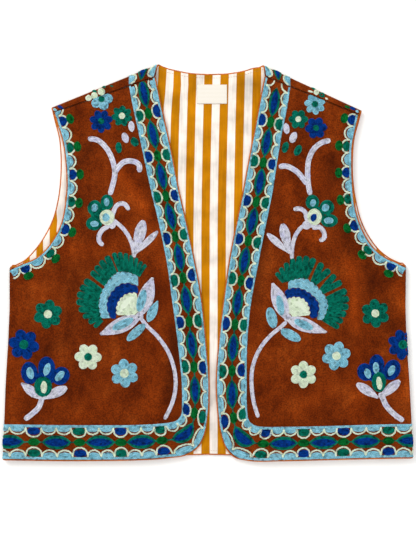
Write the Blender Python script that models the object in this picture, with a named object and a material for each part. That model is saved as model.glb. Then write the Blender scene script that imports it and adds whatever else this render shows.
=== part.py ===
"""A sleeveless velvet waistcoat, open in front and laid flat on a table.

It has seven cut pieces: a velvet back, two velvet fronts, a striped cotton lining inside each
of them, and a woven label in the back of the neck. Every piece is drawn flat, as it is cut, and
then folded into place. The back rolls over each shoulder and comes down to a seam on the front,
and back and front roll towards each other at the side seams. The embroidery stands out of the
outer face of the fronts.

Tables and outlines are in millimetres. In them x runs outwards from the middle of the garment
on either side, y runs up to the neck, and z is the height above the table.
"""
import math

import bmesh
import bpy
import numpy as np
from mathutils import Vector
from mathutils.geometry import delaunay_2d_cdt

MM = 0.001

# Cloth and how it lies, in millimetres
VELVET = 1.4
LINING = 1.0
GAP = 0.3               # between two pieces at a seam or one on the other
AIR = 2.9               # between the two linings, where the garment is fullest
RELIEF = 0.8            # height of the embroidery above the velvet
BEVEL = 0.5             # width of the embroidery's slanted rim
LINING_INSET = 2.3      # the lining stops this far inside a free edge of the velvet
UNDERARM_DROP = 4.5     # the underarm slopes down this much to the side seam
SETTLE_WIDTH = 70.0     # the open front edges sink onto the back over this width
SEAM_HOLD = 80.0        # and stay up over this length below the shoulder seam
EDGE_STEP = 14.0        # spacing of the points along a panel's edge
GRID = {"front": 26.0, "back": 60.0}   # spacing of the points inside a panel
ARC_STEPS = 3           # facets in a quarter turn of cloth

# Heights of the middle of each layer where the garment is fullest
HEIGHTS = {
    ("velvet", "back"): VELVET / 2,
    ("lining", "back"): VELVET + GAP + LINING / 2,
    ("lining", "front"): VELVET + GAP + LINING + AIR + LINING / 2,
    ("velvet", "front"): VELVET + GAP + LINING + AIR + LINING + GAP + VELVET / 2,
}
THICKNESS = {"velvet": VELVET, "lining": LINING}
LEFT, RIGHT = 0, 1
SIDES = {LEFT: "left", RIGHT: "right"}
OUTWARD = {LEFT: -1.0, RIGHT: 1.0}

# Every table below has a pair of columns, x and y, for the left front and then for the right.
# Open edge of the front, from the shoulder seam down round the corner and along the hem
OPEN_EDGE = np.array((
    (69.8, 248.0, 75.8, 249.0),
    (63.3, 218.0, 69.6, 218.5),
    (55.0, 180.5, 62.5, 179.5),
    (47.4, 145.5, 55.8, 146.0),
    (38.1, 97.0, 46.8, 97.0),
    (29.5, 60.0, 39.2, 60.0),
    (18.3, 8.0, 29.0, 8.0),
    (9.1, -40.0, 21.8, -40.5),
    (1.4, -112.0, 13.5, -112.0),
    (-2.3, -170.0, 10.6, -170.0),
    (-0.5, -205.0, 13.2, -205.0),
    (4.0, -229.0, 17.0, -229.0),
    (12.0, -245.5, 24.0, -248.0),
    (26.0, -255.8, 35.0, -259.6),
    (52.0, -260.5, 52.0, -263.9),
    (92.0, -263.3, 96.0, -264.6),
    (144.0, -264.2, 150.0, -263.4),
    (200.0, -264.4, 205.0, -262.0),
    (262.0, -263.4, 262.0, -261.0),
))
# Inner side of the embroidered border, row for row beside the open edge
BORDER_INNER = np.array((
    (105.4, 236.5, 110.1, 234.3),
    (99.4, 205.0, 105.6, 206.0),
    (92.8, 175.0, 98.4, 170.0),
    (85.6, 141.0, 93.1, 138.0),
    (75.4, 94.0, 86.0, 92.0),
    (65.8, 54.0, 78.2, 54.0),
    (54.1, -4.0, 67.2, -2.0),
    (47.8, -50.0, 58.2, -50.0),
    (39.8, -110.0, 52.4, -110.0),
    (34.7, -165.0, 51.9, -165.0),
    (34.6, -190.0, 52.2, -192.0),
    (35.8, -203.0, 54.0, -208.0),
    (42.0, -210.5, 59.0, -215.0),
    (52.0, -213.0, 68.0, -218.0),
    (70.0, -214.6, 81.0, -218.6),
    (98.0, -216.0, 105.0, -218.4),
    (148.0, -216.3, 155.0, -217.5),
    (202.0, -216.2, 206.0, -216.0),
    (262.0, -215.3, 262.0, -214.8),
))
FRONT_ARMHOLE = np.array((
    (205.7, 200.3, 200.1, 197.6),
    (198.8, 179.0, 197.2, 177.0),
    (193.8, 162.0, 193.6, 160.0),
    (189.6, 132.0, 192.5, 134.0),
    (188.2, 105.0, 193.3, 105.0),
    (190.9, 74.0, 196.7, 74.0),
    (195.8, 52.0, 202.5, 53.0),
    (203.8, 35.0, 210.2, 36.0),
    (215.3, 18.8, 222.5, 18.8),
    (229.5, 6.3, 238.4, 6.6),
    (247.5, -1.2, 253.0, 0.2),
    (257.0, -5.3, 257.0, -2.0),
))
BACK_ARMHOLE = np.array((
    (203.8, 186.0, 201.5, 187.0),
    (199.0, 167.0, 196.4, 168.0),
    (196.6, 140.0, 193.9, 140.0),
    (197.0, 115.0, 194.1, 115.0),
    (200.5, 84.0, 198.1, 84.0),
    (207.4, 58.0, 205.7, 55.0),
    (218.8, 35.0, 216.4, 34.0),
    (231.6, 17.0, 229.6, 17.0),
    (246.5, 2.5, 244.9, 5.5),
    (257.0, -2.8, 257.0, 0.0),
))
BACK_NECK = np.array((
    (0.0, 252.0, 0.0, 252.0),
    (25.0, 253.7, 28.6, 253.2),
    (43.0, 257.3, 50.0, 257.0),
    (54.0, 260.0, 62.0, 260.6),
))
BACK_HEM = np.array((
    (262.0, -259.5, 262.0, -257.5),
    (200.0, -260.5, 200.0, -259.0),
    (100.0, -259.0, 100.0, -259.0),
    (0.0, -256.4, 0.0, -256.4),
))
# Outermost line of the folded side, from the underarm to the hem
SIDE_FOLD = np.array((
    (264.8, 0.0, 264.6, 0.0),
    (264.6, -60.0, 263.8, -60.0),
    (266.5, -105.0, 265.3, -105.0),
    (269.8, -159.0, 269.1, -159.0),
    (271.5, -205.0, 271.6, -205.0),
    (273.8, -260.0, 273.8, -260.0),
))
# Outermost line of the folded shoulder, from the neck to the armhole
SHOULDER_FOLD = np.array((
    (65.4, 265.0, 73.5, 263.6),
    (208.5, 206.9, 205.3, 202.8),
))
NECK_EDGE_START = -3.5   # along the shoulder fold, where the back neck edge starts to turn over
TIP_EDGE_START = 1.0     # past the fold's outer end, where the armhole edge starts to turn over
# Soft folds of a front: from x, y to x, y, then width and height
SOFT_FOLDS = {
    LEFT: (
        (150.0, 150.0, 70.0, 40.0, 22.0, 0.9),
        (245.0, -15.0, 190.0, -75.0, 20.0, 0.8),
        (190.0, 20.0, 120.0, -20.0, 26.0, 0.7),
        (175.0, -210.0, 100.0, -120.0, 24.0, 0.7),
        (235.0, -130.0, 240.0, -215.0, 16.0, -0.6),
    ),
    RIGHT: (
        (195.0, 20.0, 200.0, -170.0, 16.0, 0.9),
        (150.0, 150.0, 175.0, 20.0, 22.0, 0.7),
        (115.0, -215.0, 190.0, -150.0, 20.0, 0.8),
        (245.0, -170.0, 215.0, -215.0, 16.0, 0.6),
        (232.0, -20.0, 236.0, -90.0, 14.0, -0.6),
    ),
}

# Embroidered motifs. Rosettes: x and y on each side, then radius and petals on each side
ROSETTES = (
    (141.7, 216.5, 141.7, 210.3, 13.5, 14.3, 7, 7),
    (142.1, 188.4, 143.9, 179.6, 15.0, 14.3, 7, 6),
    (114.5, 195.5, 119.6, 192.0, 13.6, 12.8, 7, 7),
    (212.9, -68.5, 223.0, -67.5, 19.3, 19.0, 6, 6),
    (245.0, -109.9, 257.0, -109.1, 19.5, 17.5, 6, 6),
    (159.5, -125.5, 127.3, -148.9, 17.8, 18.0, 6, 6),
    (111.0, -147.3, 171.2, -124.1, 18.7, 19.0, 6, 6),
)
# Oval pads and petals: x and y on each side, half width, half length, tilt outwards on each side
OVALS = (
    (101.8, 181.6, 104.7, 178.8, 4.3, 7.4, 6, -8),
    (110.1, 166.4, 113.7, 166.8, 4.3, 7.2, 20, 22),
    (97.6, 160.9, 103.2, 153.7, 4.3, 7.0, 33, 18),
    (118.7, 153.2, 119.9, 149.6, 4.3, 7.4, 5, 28),
    (133.7, 81.8, 139.3, 82.3, 8.0, 9.0, 10, -5),
    (152.5, 73.1, 159.6, 74.6, 9.0, 9.0, 0, 0),
    (153.5, 51.1, 163.6, 54.4, 9.5, 8.2, 0, 0),
    (134.3, 60.9, 141.7, 60.7, 9.6, 9.6, 0, 0),
    (74.2, -64.4, 85.3, -73.2, 6.4, 14.0, -32, -17),
    (95.9, -94.6, 111.6, -98.3, 6.2, 14.5, 126, 122),
    (239.4, -145.9, 247.7, -142.3, 9.6, 12.5, 14, 20),
    (216.3, -137.0, 226.5, -133.5, 9.6, 12.5, 4, 0),
    (193.6, -149.2, 205.5, -144.7, 9.6, 11.5, -30, -20),
    (217.8, -164.0, 226.2, -159.5, 9.6, 11.6, 0, 0),
)
# Leaves: base x and y, tip x and y on the left, the same on the right, then the width
LEAVES = (
    (96.6, 22.8, 87.1, 54.9, 108.1, 19.8, 100.3, 50.9, 11.0),
    (92.2, 20.8, 68.5, 41.6, 102.5, 17.3, 80.2, 37.6, 7.5),
    (89.5, -66.0, 73.5, -21.1, 101.2, -68.4, 85.5, -28.1, 18.0),
    (98.8, -75.7, 141.7, -96.8, 112.2, -78.7, 155.9, -94.5, 15.0),
    (229.6, -177.3, 248.1, -160.4, 236.2, -173.5, 256.2, -155.7, 9.0),
    (209.3, -179.3, 186.9, -166.5, 220.9, -176.7, 198.7, -161.2, 9.0),
)
# Vines and stems: the width, then points with x and y on each side
VINES = (
    (7.0, ((159.5, 165.2, 163.4, 163.1), (147.7, 163.6, 152.5, 160.3), (135.5, 153.0, 141.5, 151.7),
           (126.5, 135.0, 134.7, 138.0), (123.8, 117.0, 132.9, 120.0), (126.5, 104.3, 133.9, 104.0),
           (129.5, 95.0, 136.0, 95.5))),
    (6.0, ((118.5, 128.0, 125.0, 115.0), (112.0, 134.0, 121.0, 119.0), (103.0, 135.6, 113.0, 125.0),
           (92.0, 131.0, 105.0, 128.6), (90.8, 120.5, 94.5, 128.0))),
    (5.5, ((122.0, 75.5, 129.0, 68.0), (118.0, 77.5, 125.5, 71.3), (110.5, 76.5, 120.1, 71.9),
           (105.7, 70.0, 114.6, 70.7))),
    (6.0, ((135.5, 46.5, 147.0, 46.5), (144.5, 39.5, 154.4, 41.0), (145.0, 29.5, 154.0, 33.0),
           (139.0, 23.6, 148.6, 29.8))),
    (5.5, ((121.0, 53.0, 128.5, 49.5), (110.5, 42.7, 119.5, 39.5), (103.3, 31.5, 115.3, 28.5))),
    (5.0, ((82.5, -82.7, 97.4, -83.8), (69.0, -96.0, 84.0, -96.5), (53.5, -117.5, 68.5, -116.0),
           (44.8, -142.0, 59.3, -141.0), (42.8, -163.0, 58.3, -163.0), (46.5, -184.0, 61.0, -185.0),
           (56.3, -204.3, 67.2, -204.3))),
    (5.5, ((222.1, -184.2, 233.0, -180.7), (225.1, -192.4, 237.0, -189.5),
           (232.7, -200.1, 247.0, -200.7), (244.2, -209.1, 258.7, -208.9))),
)
# Feathered flower: hub x and y on each side
FAN_HUB = np.array((91.1, -71.7, 106.1, -73.2))
# Its rings: inner and outer radius, then the angles of the ring's ends in degrees, on the left
# and on the right; last the number of scallops
FAN_RINGS = (
    (14.0, 34.0, 4.0, 66.0, 13.0, 31.0, 8.0, 80.0, 6),
    (35.2, 47.5, 0.0, 81.0, 32.2, 44.0, 1.0, 89.0, 9),
    (48.7, 61.0, -4.0, 91.0, 45.2, 57.0, -2.0, 92.0, 11),
    (62.2, 86.0, -10.0, 97.0, 58.2, 85.0, -9.0, 102.0, 13),
)
FAN_DROOP = 0.2          # the outer ring's ends are shorter than its middle by this share

# The border: three ovals abreast at each mark, and two scallops and a lozenge between marks.
# The marks are distances along the border, from the shoulder seam to the side
BORDER_MARKS = {
    LEFT: (-11.0, 44.0, 102.0, 157.0, 212.0, 268.0, 327.0, 388.0, 450.0, 515.0, 570.0, 625.0, 686.0),
    RIGHT: (1.0, 55.0, 110.0, 163.0, 216.0, 270.0, 329.0, 391.0, 454.0, 515.0, 569.0, 622.0, 682.0),
}
BORDER_RIM = 0.045       # as shares of the border's width, from the open edge
SCALLOP_ROOT = 0.115
SCALLOP_CREST = 0.29
OVAL_CENTRE = 0.265
LOZENGE = (17.0, 0.17)   # half length along the border, half width as a share
SIDE_OVAL = (7.0, 4.2)   # half length and half width
MIDDLE_OVAL = (6.5, 3.6)
BORDER_END_CLEAR = 2.0   # the borders stop short of the seams by this much
REPEAT_PAST = 36.0       # the mark after the last one lies this far past the border's end
SEAM_CLEAR = 1.0         # other motifs are cut off this far inside a seam
# Along the armhole an oval, with a second one behind it, then a scallop
ARMHOLE_REPEAT = {LEFT: 35.2, RIGHT: 34.2}
ARMHOLE_START = {LEFT: 12.5, RIGHT: 9.5}
ARMHOLE_RIM = (2.6, 4.4)
ARMHOLE_CREST = 11.0
ARMHOLE_OVALS = ((9.0, 3.6, 5.2), (18.0, 4.2, 5.0))   # depth, half width and half length

LABEL_CENTRE = (5.6, 225.0)
LABEL_SIZE = (40.0, 25.5, 1.0)

COLOURS = {              # colour, roughness and metallic value
    "velvet": ((0.20, 0.050, 0.012, 1.0), 0.85, 0.0),
    "lining": ((0.62, 0.40, 0.13, 1.0), 0.8, 0.0),
    "label": ((0.87, 0.83, 0.70, 1.0), 0.7, 0.0),
}


# Curves

def hermite(points, knots, at):
    """Smooth curve through the points, which lie at the knots, read at the places given."""
    slopes = np.gradient(points, knots, axis=0)
    i = np.clip(np.searchsorted(knots, at, side="right") - 1, 0, len(knots) - 2)
    span = (knots[i + 1] - knots[i])[:, None]
    t = (at - knots[i])[:, None] / span
    return ((2 * t**3 - 3 * t**2 + 1) * points[i] + (t**3 - 2 * t**2 + t) * span * slopes[i]
            + (3 * t**2 - 2 * t**3) * points[i + 1] + (t**3 - t**2) * span * slopes[i + 1])


def lengths(points):
    """Distance along a path to each of its points."""
    return np.concatenate([[0.0], np.cumsum(np.hypot(*np.diff(points, axis=0).T))])


def curve(points, step):
    """Points about one step apart on a smooth curve through the given ones."""
    points = np.asarray(points, float)
    knots = lengths(points)
    at = np.linspace(0, knots[-1], max(2, round(knots[-1] / step)) + 1)
    return hermite(points, knots, at)


def shifted(path, distance):
    """The path moved to its left by a distance."""
    along = np.gradient(path, axis=0)
    along /= np.hypot(*along.T)[:, None]
    return path + distance * np.stack([-along[:, 1], along[:, 0]], axis=1)


def column(table, side):
    """The x and y columns of a table for one side."""
    return np.asarray(table, float)[:, 2 * side:2 * side + 2]


def smooth(t):
    t = np.clip(t, 0.0, 1.0)
    return t * t * (3 - 2 * t)


# How the cloth lies

def fold_reach(turn):
    """How far the outer face of the velvet reaches past the start of a bend."""
    return bend_radius("velvet", turn) + VELVET / 2


def bend_radius(layer, turn):
    """Radius of a layer's middle in a shoulder fold, a half turn, or a side seam, a quarter."""
    height = HEIGHTS[layer, "front"] - HEIGHTS[layer, "back"]
    return height / 2 if turn > 2 else (height - GAP) / 2


def bend(past, radius, turn):
    """Cloth that goes past a bend's start: its distance in plan, its rise and its tilt."""
    tilt = np.clip(past / radius, 0.0, turn)
    beyond = np.maximum(past - radius * turn, 0.0)
    plan = np.where(past < 0, past, radius * np.sin(tilt) + beyond * math.cos(turn))
    rise = radius * (1 - np.cos(tilt)) + beyond * math.sin(turn)
    return plan, rise, tilt


def side_bend(y, side):
    """Where the cloth starts to roll at the side seam."""
    x, heights = column(SIDE_FOLD, side).T
    return np.interp(-np.asarray(y), -heights, x) - fold_reach(math.pi / 2)


def side_edge(y, side, layer):
    """The flat position of the side seam."""
    return side_bend(y, side) + bend_radius(layer, math.pi / 2) * math.pi / 2


def shoulder_frame(side):
    """Neck end of the shoulder fold, the direction along it, and the direction past it."""
    start, end = column(SHOULDER_FOLD, side)
    along = (end - start) / np.hypot(*(end - start))
    return start, along, np.array([-along[1], along[0]])


def soft_fold(points, side):
    """Rise of a front's soft folds, which fade out towards the side seam."""
    total = np.zeros(len(points))
    for x0, y0, x1, y1, width, height in SOFT_FOLDS[side]:
        start, run = np.array([x0, y0]), np.array([x1 - x0, y1 - y0])
        t = np.clip((points - start) @ run / (run @ run), 0.0, 1.0)
        away = np.hypot(*(points - start - t[:, None] * run).T)
        total += height * (1 - (2 * t - 1) ** 2) * np.exp(-(away / width) ** 2)
    return total * smooth((side_bend(points[:, 1], side) - points[:, 0]) / 25.0)


def settle(points, side):
    """How far a front sinks onto the back near its open edge."""
    edge = column(OPEN_EDGE, side)[:13]
    from_edge = points[:, 0] - np.interp(-points[:, 1], -edge[:, 1], edge[:, 0])
    start, _, past = shoulder_frame(side)
    from_seam = -(points - start) @ past - fold_reach(math.pi)
    near_edge = 1 - smooth(from_edge / SETTLE_WIDTH)
    return -(AIR - GAP) * near_edge * smooth(from_seam / SEAM_HOLD)


def place_front(points, lift, side, layer):
    """Flat points of a front, put in place; lift is the distance above the middle of its wall."""
    x, y = points.T
    start = side_bend(y, side)
    plan, rise, tilt = bend(x - start, bend_radius(layer, math.pi / 2), math.pi / 2)
    z = HEIGHTS[layer, "front"] + settle(points, side) + soft_fold(points, side)
    return np.stack([
        OUTWARD[side] * (start + plan + lift * np.sin(tilt)), y, z - rise + lift * np.cos(tilt),
    ], axis=1)


def place_back(points, lift, layer):
    """Flat points of the back, with x from left to right, put in place; lift is outwards."""
    placed = np.zeros((len(points), 3))
    side_of = np.where(points[:, 0] < 0, LEFT, RIGHT)
    for side in SIDES:
        mine = side_of == side
        flat = points[mine] * (OUTWARD[side], 1.0)
        start, along, past = shoulder_frame(side)
        reach = fold_reach(math.pi)
        far = (flat - start) @ past + reach
        plan, rise, tilt = bend(far, bend_radius(layer, math.pi), math.pi)
        moved = flat + (plan - far + lift[mine] * np.sin(tilt))[:, None] * past
        z = HEIGHTS[layer, "back"] + rise - lift[mine] * np.cos(tilt)
        seam = side_bend(flat[:, 1], side)
        plan, rise, tilt = bend(flat[:, 0] - seam, bend_radius(layer, math.pi / 2), math.pi / 2)
        rolled = (flat[:, 0] > seam) & (far < 0)
        moved[rolled, 0] = (seam + plan + lift[mine] * np.sin(tilt))[rolled]
        z[rolled] = (HEIGHTS[layer, "back"] + rise - lift[mine] * np.cos(tilt))[rolled]
        placed[mine] = np.column_stack([OUTWARD[side] * moved[:, 0], moved[:, 1], z])
    return placed


# Cutting lines. Each outline comes with its bend lines, which keep the facets of a fold straight

def side_seam(side, layer, low, high):
    """Flat points across the roll at the hem, up the side seam and back at the underarm."""
    arc = bend_radius(layer, math.pi / 2) * math.pi / 2
    rows = np.linspace(low + 3, high - UNDERARM_DROP, round((high - low) / EDGE_STEP))
    seam = [(side_bend(y, side) + arc, y) for y in rows]
    lines = []
    for k in range(ARC_STEPS):
        part = k / ARC_STEPS
        heights = [low + 0.6 * part, *rows[1:-1], high - UNDERARM_DROP * part]
        lines.append(np.array([(side_bend(y, side) + arc * part, y) for y in heights]))
    hem = [line[0] for line in lines]
    underarm = [line[-1] for line in lines[::-1]]
    return np.vstack([hem, seam, underarm]), lines


def front_outline(side, layer):
    """Flat outline of a front, anticlockwise from the neck end of its shoulder seam."""
    inset = LINING_INSET if layer == "lining" else 0.0
    opening = shifted(curve(column(OPEN_EDGE, side), EDGE_STEP), inset)
    armhole = shifted(curve(column(FRONT_ARMHOLE, side), EDGE_STEP)[::-1], inset)
    past = shoulder_frame(side)[2]
    for point, end in ((opening[0], OPEN_EDGE), (armhole[-1], FRONT_ARMHOLE)):
        point -= (GAP + (point - column(end, side)[0]) @ past) * past
    seam, lines = side_seam(side, layer, opening[-1, 1], armhole[0, 1])
    return np.vstack([opening, seam, armhole]), lines


def strap_edge(turn, point, side, layer, inset):
    """An edge of the shoulder strap: a point at each facet of the fold, then its seam end."""
    start, along, past = shoulder_frame(side)
    arc = math.pi * bend_radius(layer, math.pi)
    seen = (point - start) @ past + fold_reach(math.pi)
    turned = start + turn * along - fold_reach(math.pi) * past
    end = start + (point - start) @ along * along + (arc - seen - fold_reach(math.pi)) * past
    shares = np.append(np.linspace(0, arc, 2 * ARC_STEPS + 1), arc - seen) / (arc - seen)
    return turned + shares[:, None] * (end - turned) + inset * along


def back_half(side, layer):
    """Flat outline of one half of the back, clockwise from the middle of the neck to the hem."""
    inset = LINING_INSET if layer == "lining" else 0.0
    length = np.hypot(*np.diff(column(SHOULDER_FOLD, side), axis=0)[0])
    neck_end, arm_end = column(OPEN_EDGE, side)[0], column(FRONT_ARMHOLE, side)[0]
    strap_in = strap_edge(NECK_EDGE_START, neck_end, side, layer, inset)
    strap_out = strap_edge(length + TIP_EDGE_START, arm_end, side, layer, -inset)
    between = np.linspace(0, 1, round(length / EDGE_STEP))[:, None]
    folds = [a + between * (b - a) for a, b in zip(strap_in, strap_out)]
    neck = curve([*column(BACK_NECK, side), strap_in[0] - inset * shoulder_frame(side)[1]], EDGE_STEP)
    neck = shifted(neck, -inset)[:-1]
    armhole = [strap_out[0] + inset * shoulder_frame(side)[1], *column(BACK_ARMHOLE, side)]
    armhole = shifted(curve(armhole, EDGE_STEP), -inset)[1:]
    hem = shifted(curve(column(BACK_HEM, side), EDGE_STEP), -inset)
    neck[0, 0] = hem[-1, 0] = 0.0
    down, rolls = side_seam(side, layer, hem[0, 1], armhole[-1, 1])
    outline = [neck, strap_in, folds[-1][1:-1], strap_out[::-1], armhole, down[::-1], hem]
    return np.vstack(outline), [*folds[:-1], *rolls]


def back_outline(layer):
    """Flat outline of the whole back, with x from left to right."""
    (left, left_lines), (right, right_lines) = (back_half(side, layer) for side in SIDES)
    mirror = (-1.0, 1.0)
    lines = [line * mirror for line in left_lines] + right_lines
    return np.vstack([right, left[-2:0:-1] * mirror])[::-1], lines


# Outlines of the embroidery

def rosette(centre, radius, petals, points=4):
    """A flower of round petals, as one outline."""
    turn = np.arange(petals * points) * 2 * math.pi / (petals * points)
    reach = radius * (0.72 + 0.28 * np.abs(np.cos(petals * turn / 2)) ** 0.7)
    return np.asarray(centre) + reach[:, None] * np.stack([np.sin(turn), np.cos(turn)], axis=1)


def oval(centre, half_width, half_length, tilt, points=8):
    turn = np.arange(points) * 2 * math.pi / points
    across, along = half_width * np.cos(turn), half_length * np.sin(turn)
    s, c = math.sin(math.radians(tilt)), math.cos(math.radians(tilt))
    return np.asarray(centre) + np.stack([across * c + along * s, along * c - across * s], axis=1)


def leaf(base, tip, width, points=4):
    """A leaf that is widest past its middle."""
    run = np.asarray(tip, float) - base
    normal = np.array([-run[1], run[0]]) / np.hypot(*run)
    t = np.linspace(0, 1, points + 2)[1:-1]
    half = width / 2 * np.sin(math.pi * t ** 1.2)[:, None]
    middle = base + t[:, None] * run
    return np.vstack([base, middle - half * normal, tip, (middle + half * normal)[::-1]])


def ribbon(path, width, step=12.0):
    """A band of even width along a path."""
    middle = curve(path, step)
    return np.vstack([shifted(middle, -width / 2), shifted(middle, width / 2)[::-1]])


def fan_ring(side, ring, droop):
    """One ring of the feathered flower, smooth inside and scalloped outside."""
    hub = FAN_HUB[2 * side:2 * side + 2]
    inner, outer = ring[4 * side:4 * side + 2]
    low, high = np.radians(ring[4 * side + 2:4 * side + 4])
    scallops = ring[8]
    t = np.linspace(0, 1, 3 * scallops + 1)
    wave = np.where(np.arange(len(t)) % 3 == 0, 0.93, 1.0)
    reach = outer * wave * (1 - droop * (2 * t - 1) ** 4)
    back = np.linspace(1, 0, scallops + 1)
    turn_out, turn_in = low + (high - low) * t, low + (high - low) * back
    return hub + np.vstack([
        reach[:, None] * np.stack([np.cos(turn_out), np.sin(turn_out)], axis=1),
        inner * np.stack([np.cos(turn_in), np.sin(turn_in)], axis=1),
    ])


def border_frame(side):
    """A function from distance along the border and share of its width to flat points."""
    outer, inner = column(OPEN_EDGE, side), column(BORDER_INNER, side)
    knots = lengths((outer + inner) / 2)

    def at(along, share):
        along = np.atleast_1d(np.asarray(along, float))
        share = np.broadcast_to(share, along.shape)[:, None]
        return hermite(outer, knots, along) * (1 - share) + hermite(inner, knots, along) * share

    return at, knots[-1]


def border_oval(at, along, share, half_length, half_width, points=6):
    """An oval on the border, its long axis along it."""
    centre, ahead = at([along, along + 1.0], share)
    tilt = math.degrees(math.atan2(*(ahead - centre)))
    return oval(centre, half_width, half_length, tilt, points)


def scallops(start, end, marks, root, crest):
    """Places along a strip and how deep it is there, scalloped twice between marks."""
    places, depths = [start], [root]
    for mark, after in zip(marks, marks[1:]):
        for step in (1 / 6, 1 / 2):
            for part, depth in ((0.0, root), (0.3, crest), (0.7, crest), (1.0, root)):
                place = mark + (step + part / 3) * (after - mark)
                if start + 1.0 < place < end - 1.0 and place > places[-1] + 1.0:
                    places.append(place)
                    depths.append(depth)
    return np.array([*places, end]), np.array([*depths, root])


def border_outlines(side):
    """Strips, lozenges and ovals of the border along the front opening and the hem."""
    at, total = border_frame(side)
    start, end = BORDER_END_CLEAR, total - BORDER_END_CLEAR
    marks = [*BORDER_MARKS[side], total + REPEAT_PAST]
    places, depths = scallops(start, end, marks, SCALLOP_ROOT, SCALLOP_CREST)
    back = np.linspace(end, start, len(marks) * 3)
    outlines = [
        np.vstack([at(places, depths), at(back, BORDER_RIM)]),
        np.vstack([at(places, 1 - depths), at(back, 1 - BORDER_RIM)]),
    ]
    length, width = LOZENGE
    for mark, after in zip(marks, marks[1:]):
        middle = (mark + after) / 2
        if start + length < middle < end - length:
            along = middle + length * np.array([-1, -0.35, 0.35, 1, 0.35, -0.35])
            outlines.append(at(along, 0.5 + width * np.array([0, -1, -1, 0, 1, 1])))
        if start + SIDE_OVAL[0] < mark < end - SIDE_OVAL[0]:
            outlines.append(border_oval(at, mark, 0.5, *MIDDLE_OVAL))
            outlines.append(border_oval(at, mark, OVAL_CENTRE, *SIDE_OVAL))
            outlines.append(border_oval(at, mark, 1 - OVAL_CENTRE, *SIDE_OVAL))
    return outlines


def armhole_frame(side):
    """A function from distance along the armhole and depth inside it to flat points."""
    edge = curve(column(FRONT_ARMHOLE, side)[::-1], 2.0)
    knots = lengths(edge)
    along = np.gradient(edge, knots, axis=0)
    inwards = np.stack([-along[:, 1], along[:, 0]], axis=1)

    def at(place, depth):
        place = np.atleast_1d(np.asarray(place, float))
        depth = np.broadcast_to(depth, place.shape)[:, None]
        point = np.stack([np.interp(place, knots, edge[:, k]) for k in (0, 1)], axis=1)
        normal = np.stack([np.interp(place, knots, inwards[:, k]) for k in (0, 1)], axis=1)
        return point + depth * normal

    return at, knots[-1]


def armhole_outlines(side):
    """The scalloped strip along the armhole, with pairs of ovals between its scallops."""
    at, total = armhole_frame(side)
    repeat = ARMHOLE_REPEAT[side]
    start, end = BORDER_END_CLEAR, total - BORDER_END_CLEAR
    rim, root = ARMHOLE_RIM
    marks = np.arange(ARMHOLE_START[side] - repeat, total + repeat, repeat)
    places, depths, outlines = [start], [root], []
    for mark in marks:
        for part, depth in ((0.25, root), (0.4, ARMHOLE_CREST), (0.6, ARMHOLE_CREST), (0.75, root)):
            place = mark + part * repeat
            if start + 1.0 < place < end - 1.0:
                places.append(place)
                depths.append(depth)
        for depth, half_width, half_length in ARMHOLE_OVALS:
            if start + half_length < mark < end - half_length:
                centre, ahead = at([mark, mark + 1.0], depth)
                tilt = math.degrees(math.atan2(*(ahead - centre)))
                outlines.append(oval(centre, half_width, half_length, tilt, 6))
    back = np.linspace(end, start, 2 * len(marks))
    return [np.vstack([at([*places, end], [*depths, root]), at(back, rim)]), *outlines]


def clear_of_seams(outline, side):
    """An outline with what crosses the shoulder or side seam brought back to just inside it."""
    neck, tip = column(OPEN_EDGE, side)[0], column(FRONT_ARMHOLE, side)[0]
    run = (tip - neck) / np.hypot(*(tip - neck))
    past = np.array([-run[1], run[0]])
    over = np.maximum((outline - neck) @ past + GAP + SEAM_CLEAR, 0.0)
    outline = outline - over[:, None] * past
    limit = side_edge(outline[:, 1], side, "velvet") - SEAM_CLEAR
    return np.column_stack([np.minimum(outline[:, 0], limit), outline[:, 1]])


def embroidery(side):
    """Outlines of everything embroidered on one front."""
    pick = slice(2 * side, 2 * side + 2)
    outlines = [rosette(row[pick], row[4 + side], row[6 + side]) for row in ROSETTES]
    outlines += [oval(row[pick], row[4], row[5], row[6 + side]) for row in OVALS]
    for row in LEAVES:
        base, tip = np.reshape(row[4 * side:4 * side + 4], (2, 2))
        outlines.append(leaf(base, tip, row[8]))
    outlines += [ribbon(column(points, side), width) for width, points in VINES]
    outlines += [
        fan_ring(side, ring, FAN_DROOP if ring is FAN_RINGS[-1] else 0.0) for ring in FAN_RINGS
    ]
    outlines += border_outlines(side) + armhole_outlines(side)
    return [clear_of_seams(outline, side) for outline in outlines]


# Meshes

def area(outline):
    x, y = outline.T
    return (x * np.roll(y, -1) - np.roll(x, -1) * y).sum() / 2


def inside(points, outline):
    """Which points lie inside an outline."""
    x, y = points.T[:, :, None]
    ax, ay = outline.T[:, None, :]
    bx, by = np.roll(outline, -1, axis=0).T[:, None, :]
    crosses = (ay > y) != (by > y)
    with np.errstate(divide="ignore", invalid="ignore"):
        at = ax + (y - ay) * (bx - ax) / (by - ay)
    return (crosses & (x < at)).sum(axis=1) % 2 == 1


def distance(points, path):
    """Distance from each point to a closed path."""
    ends = np.roll(path, -1, axis=0)
    run = ends - path
    square = np.maximum((run ** 2).sum(axis=1), 1e-9)
    t = np.clip(((points[:, None] - path) * run).sum(axis=2) / square, 0, 1)
    away = points[:, None] - path - t[..., None] * run
    return np.sqrt((away ** 2).sum(axis=2)).min(axis=1)


def grid_inside(outline, avoid, spacing):
    """Grid points inside an outline, clear of it and of the lines and loops to avoid."""
    low, high = outline.min(axis=0), outline.max(axis=0)
    columns = np.arange(low[0] + spacing / 2, high[0], spacing)
    rows = np.arange(low[1] + spacing / 2, high[1], spacing)
    points = np.stack(np.meshgrid(columns, rows), axis=-1).reshape(-1, 2)
    points = points[inside(points, outline)]
    points = points[distance(points, outline) > spacing * 0.35]
    for loop in avoid:
        points = points[distance(points, loop) > 4.0]
        points = points[~inside(points, loop)]
    return points


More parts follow.
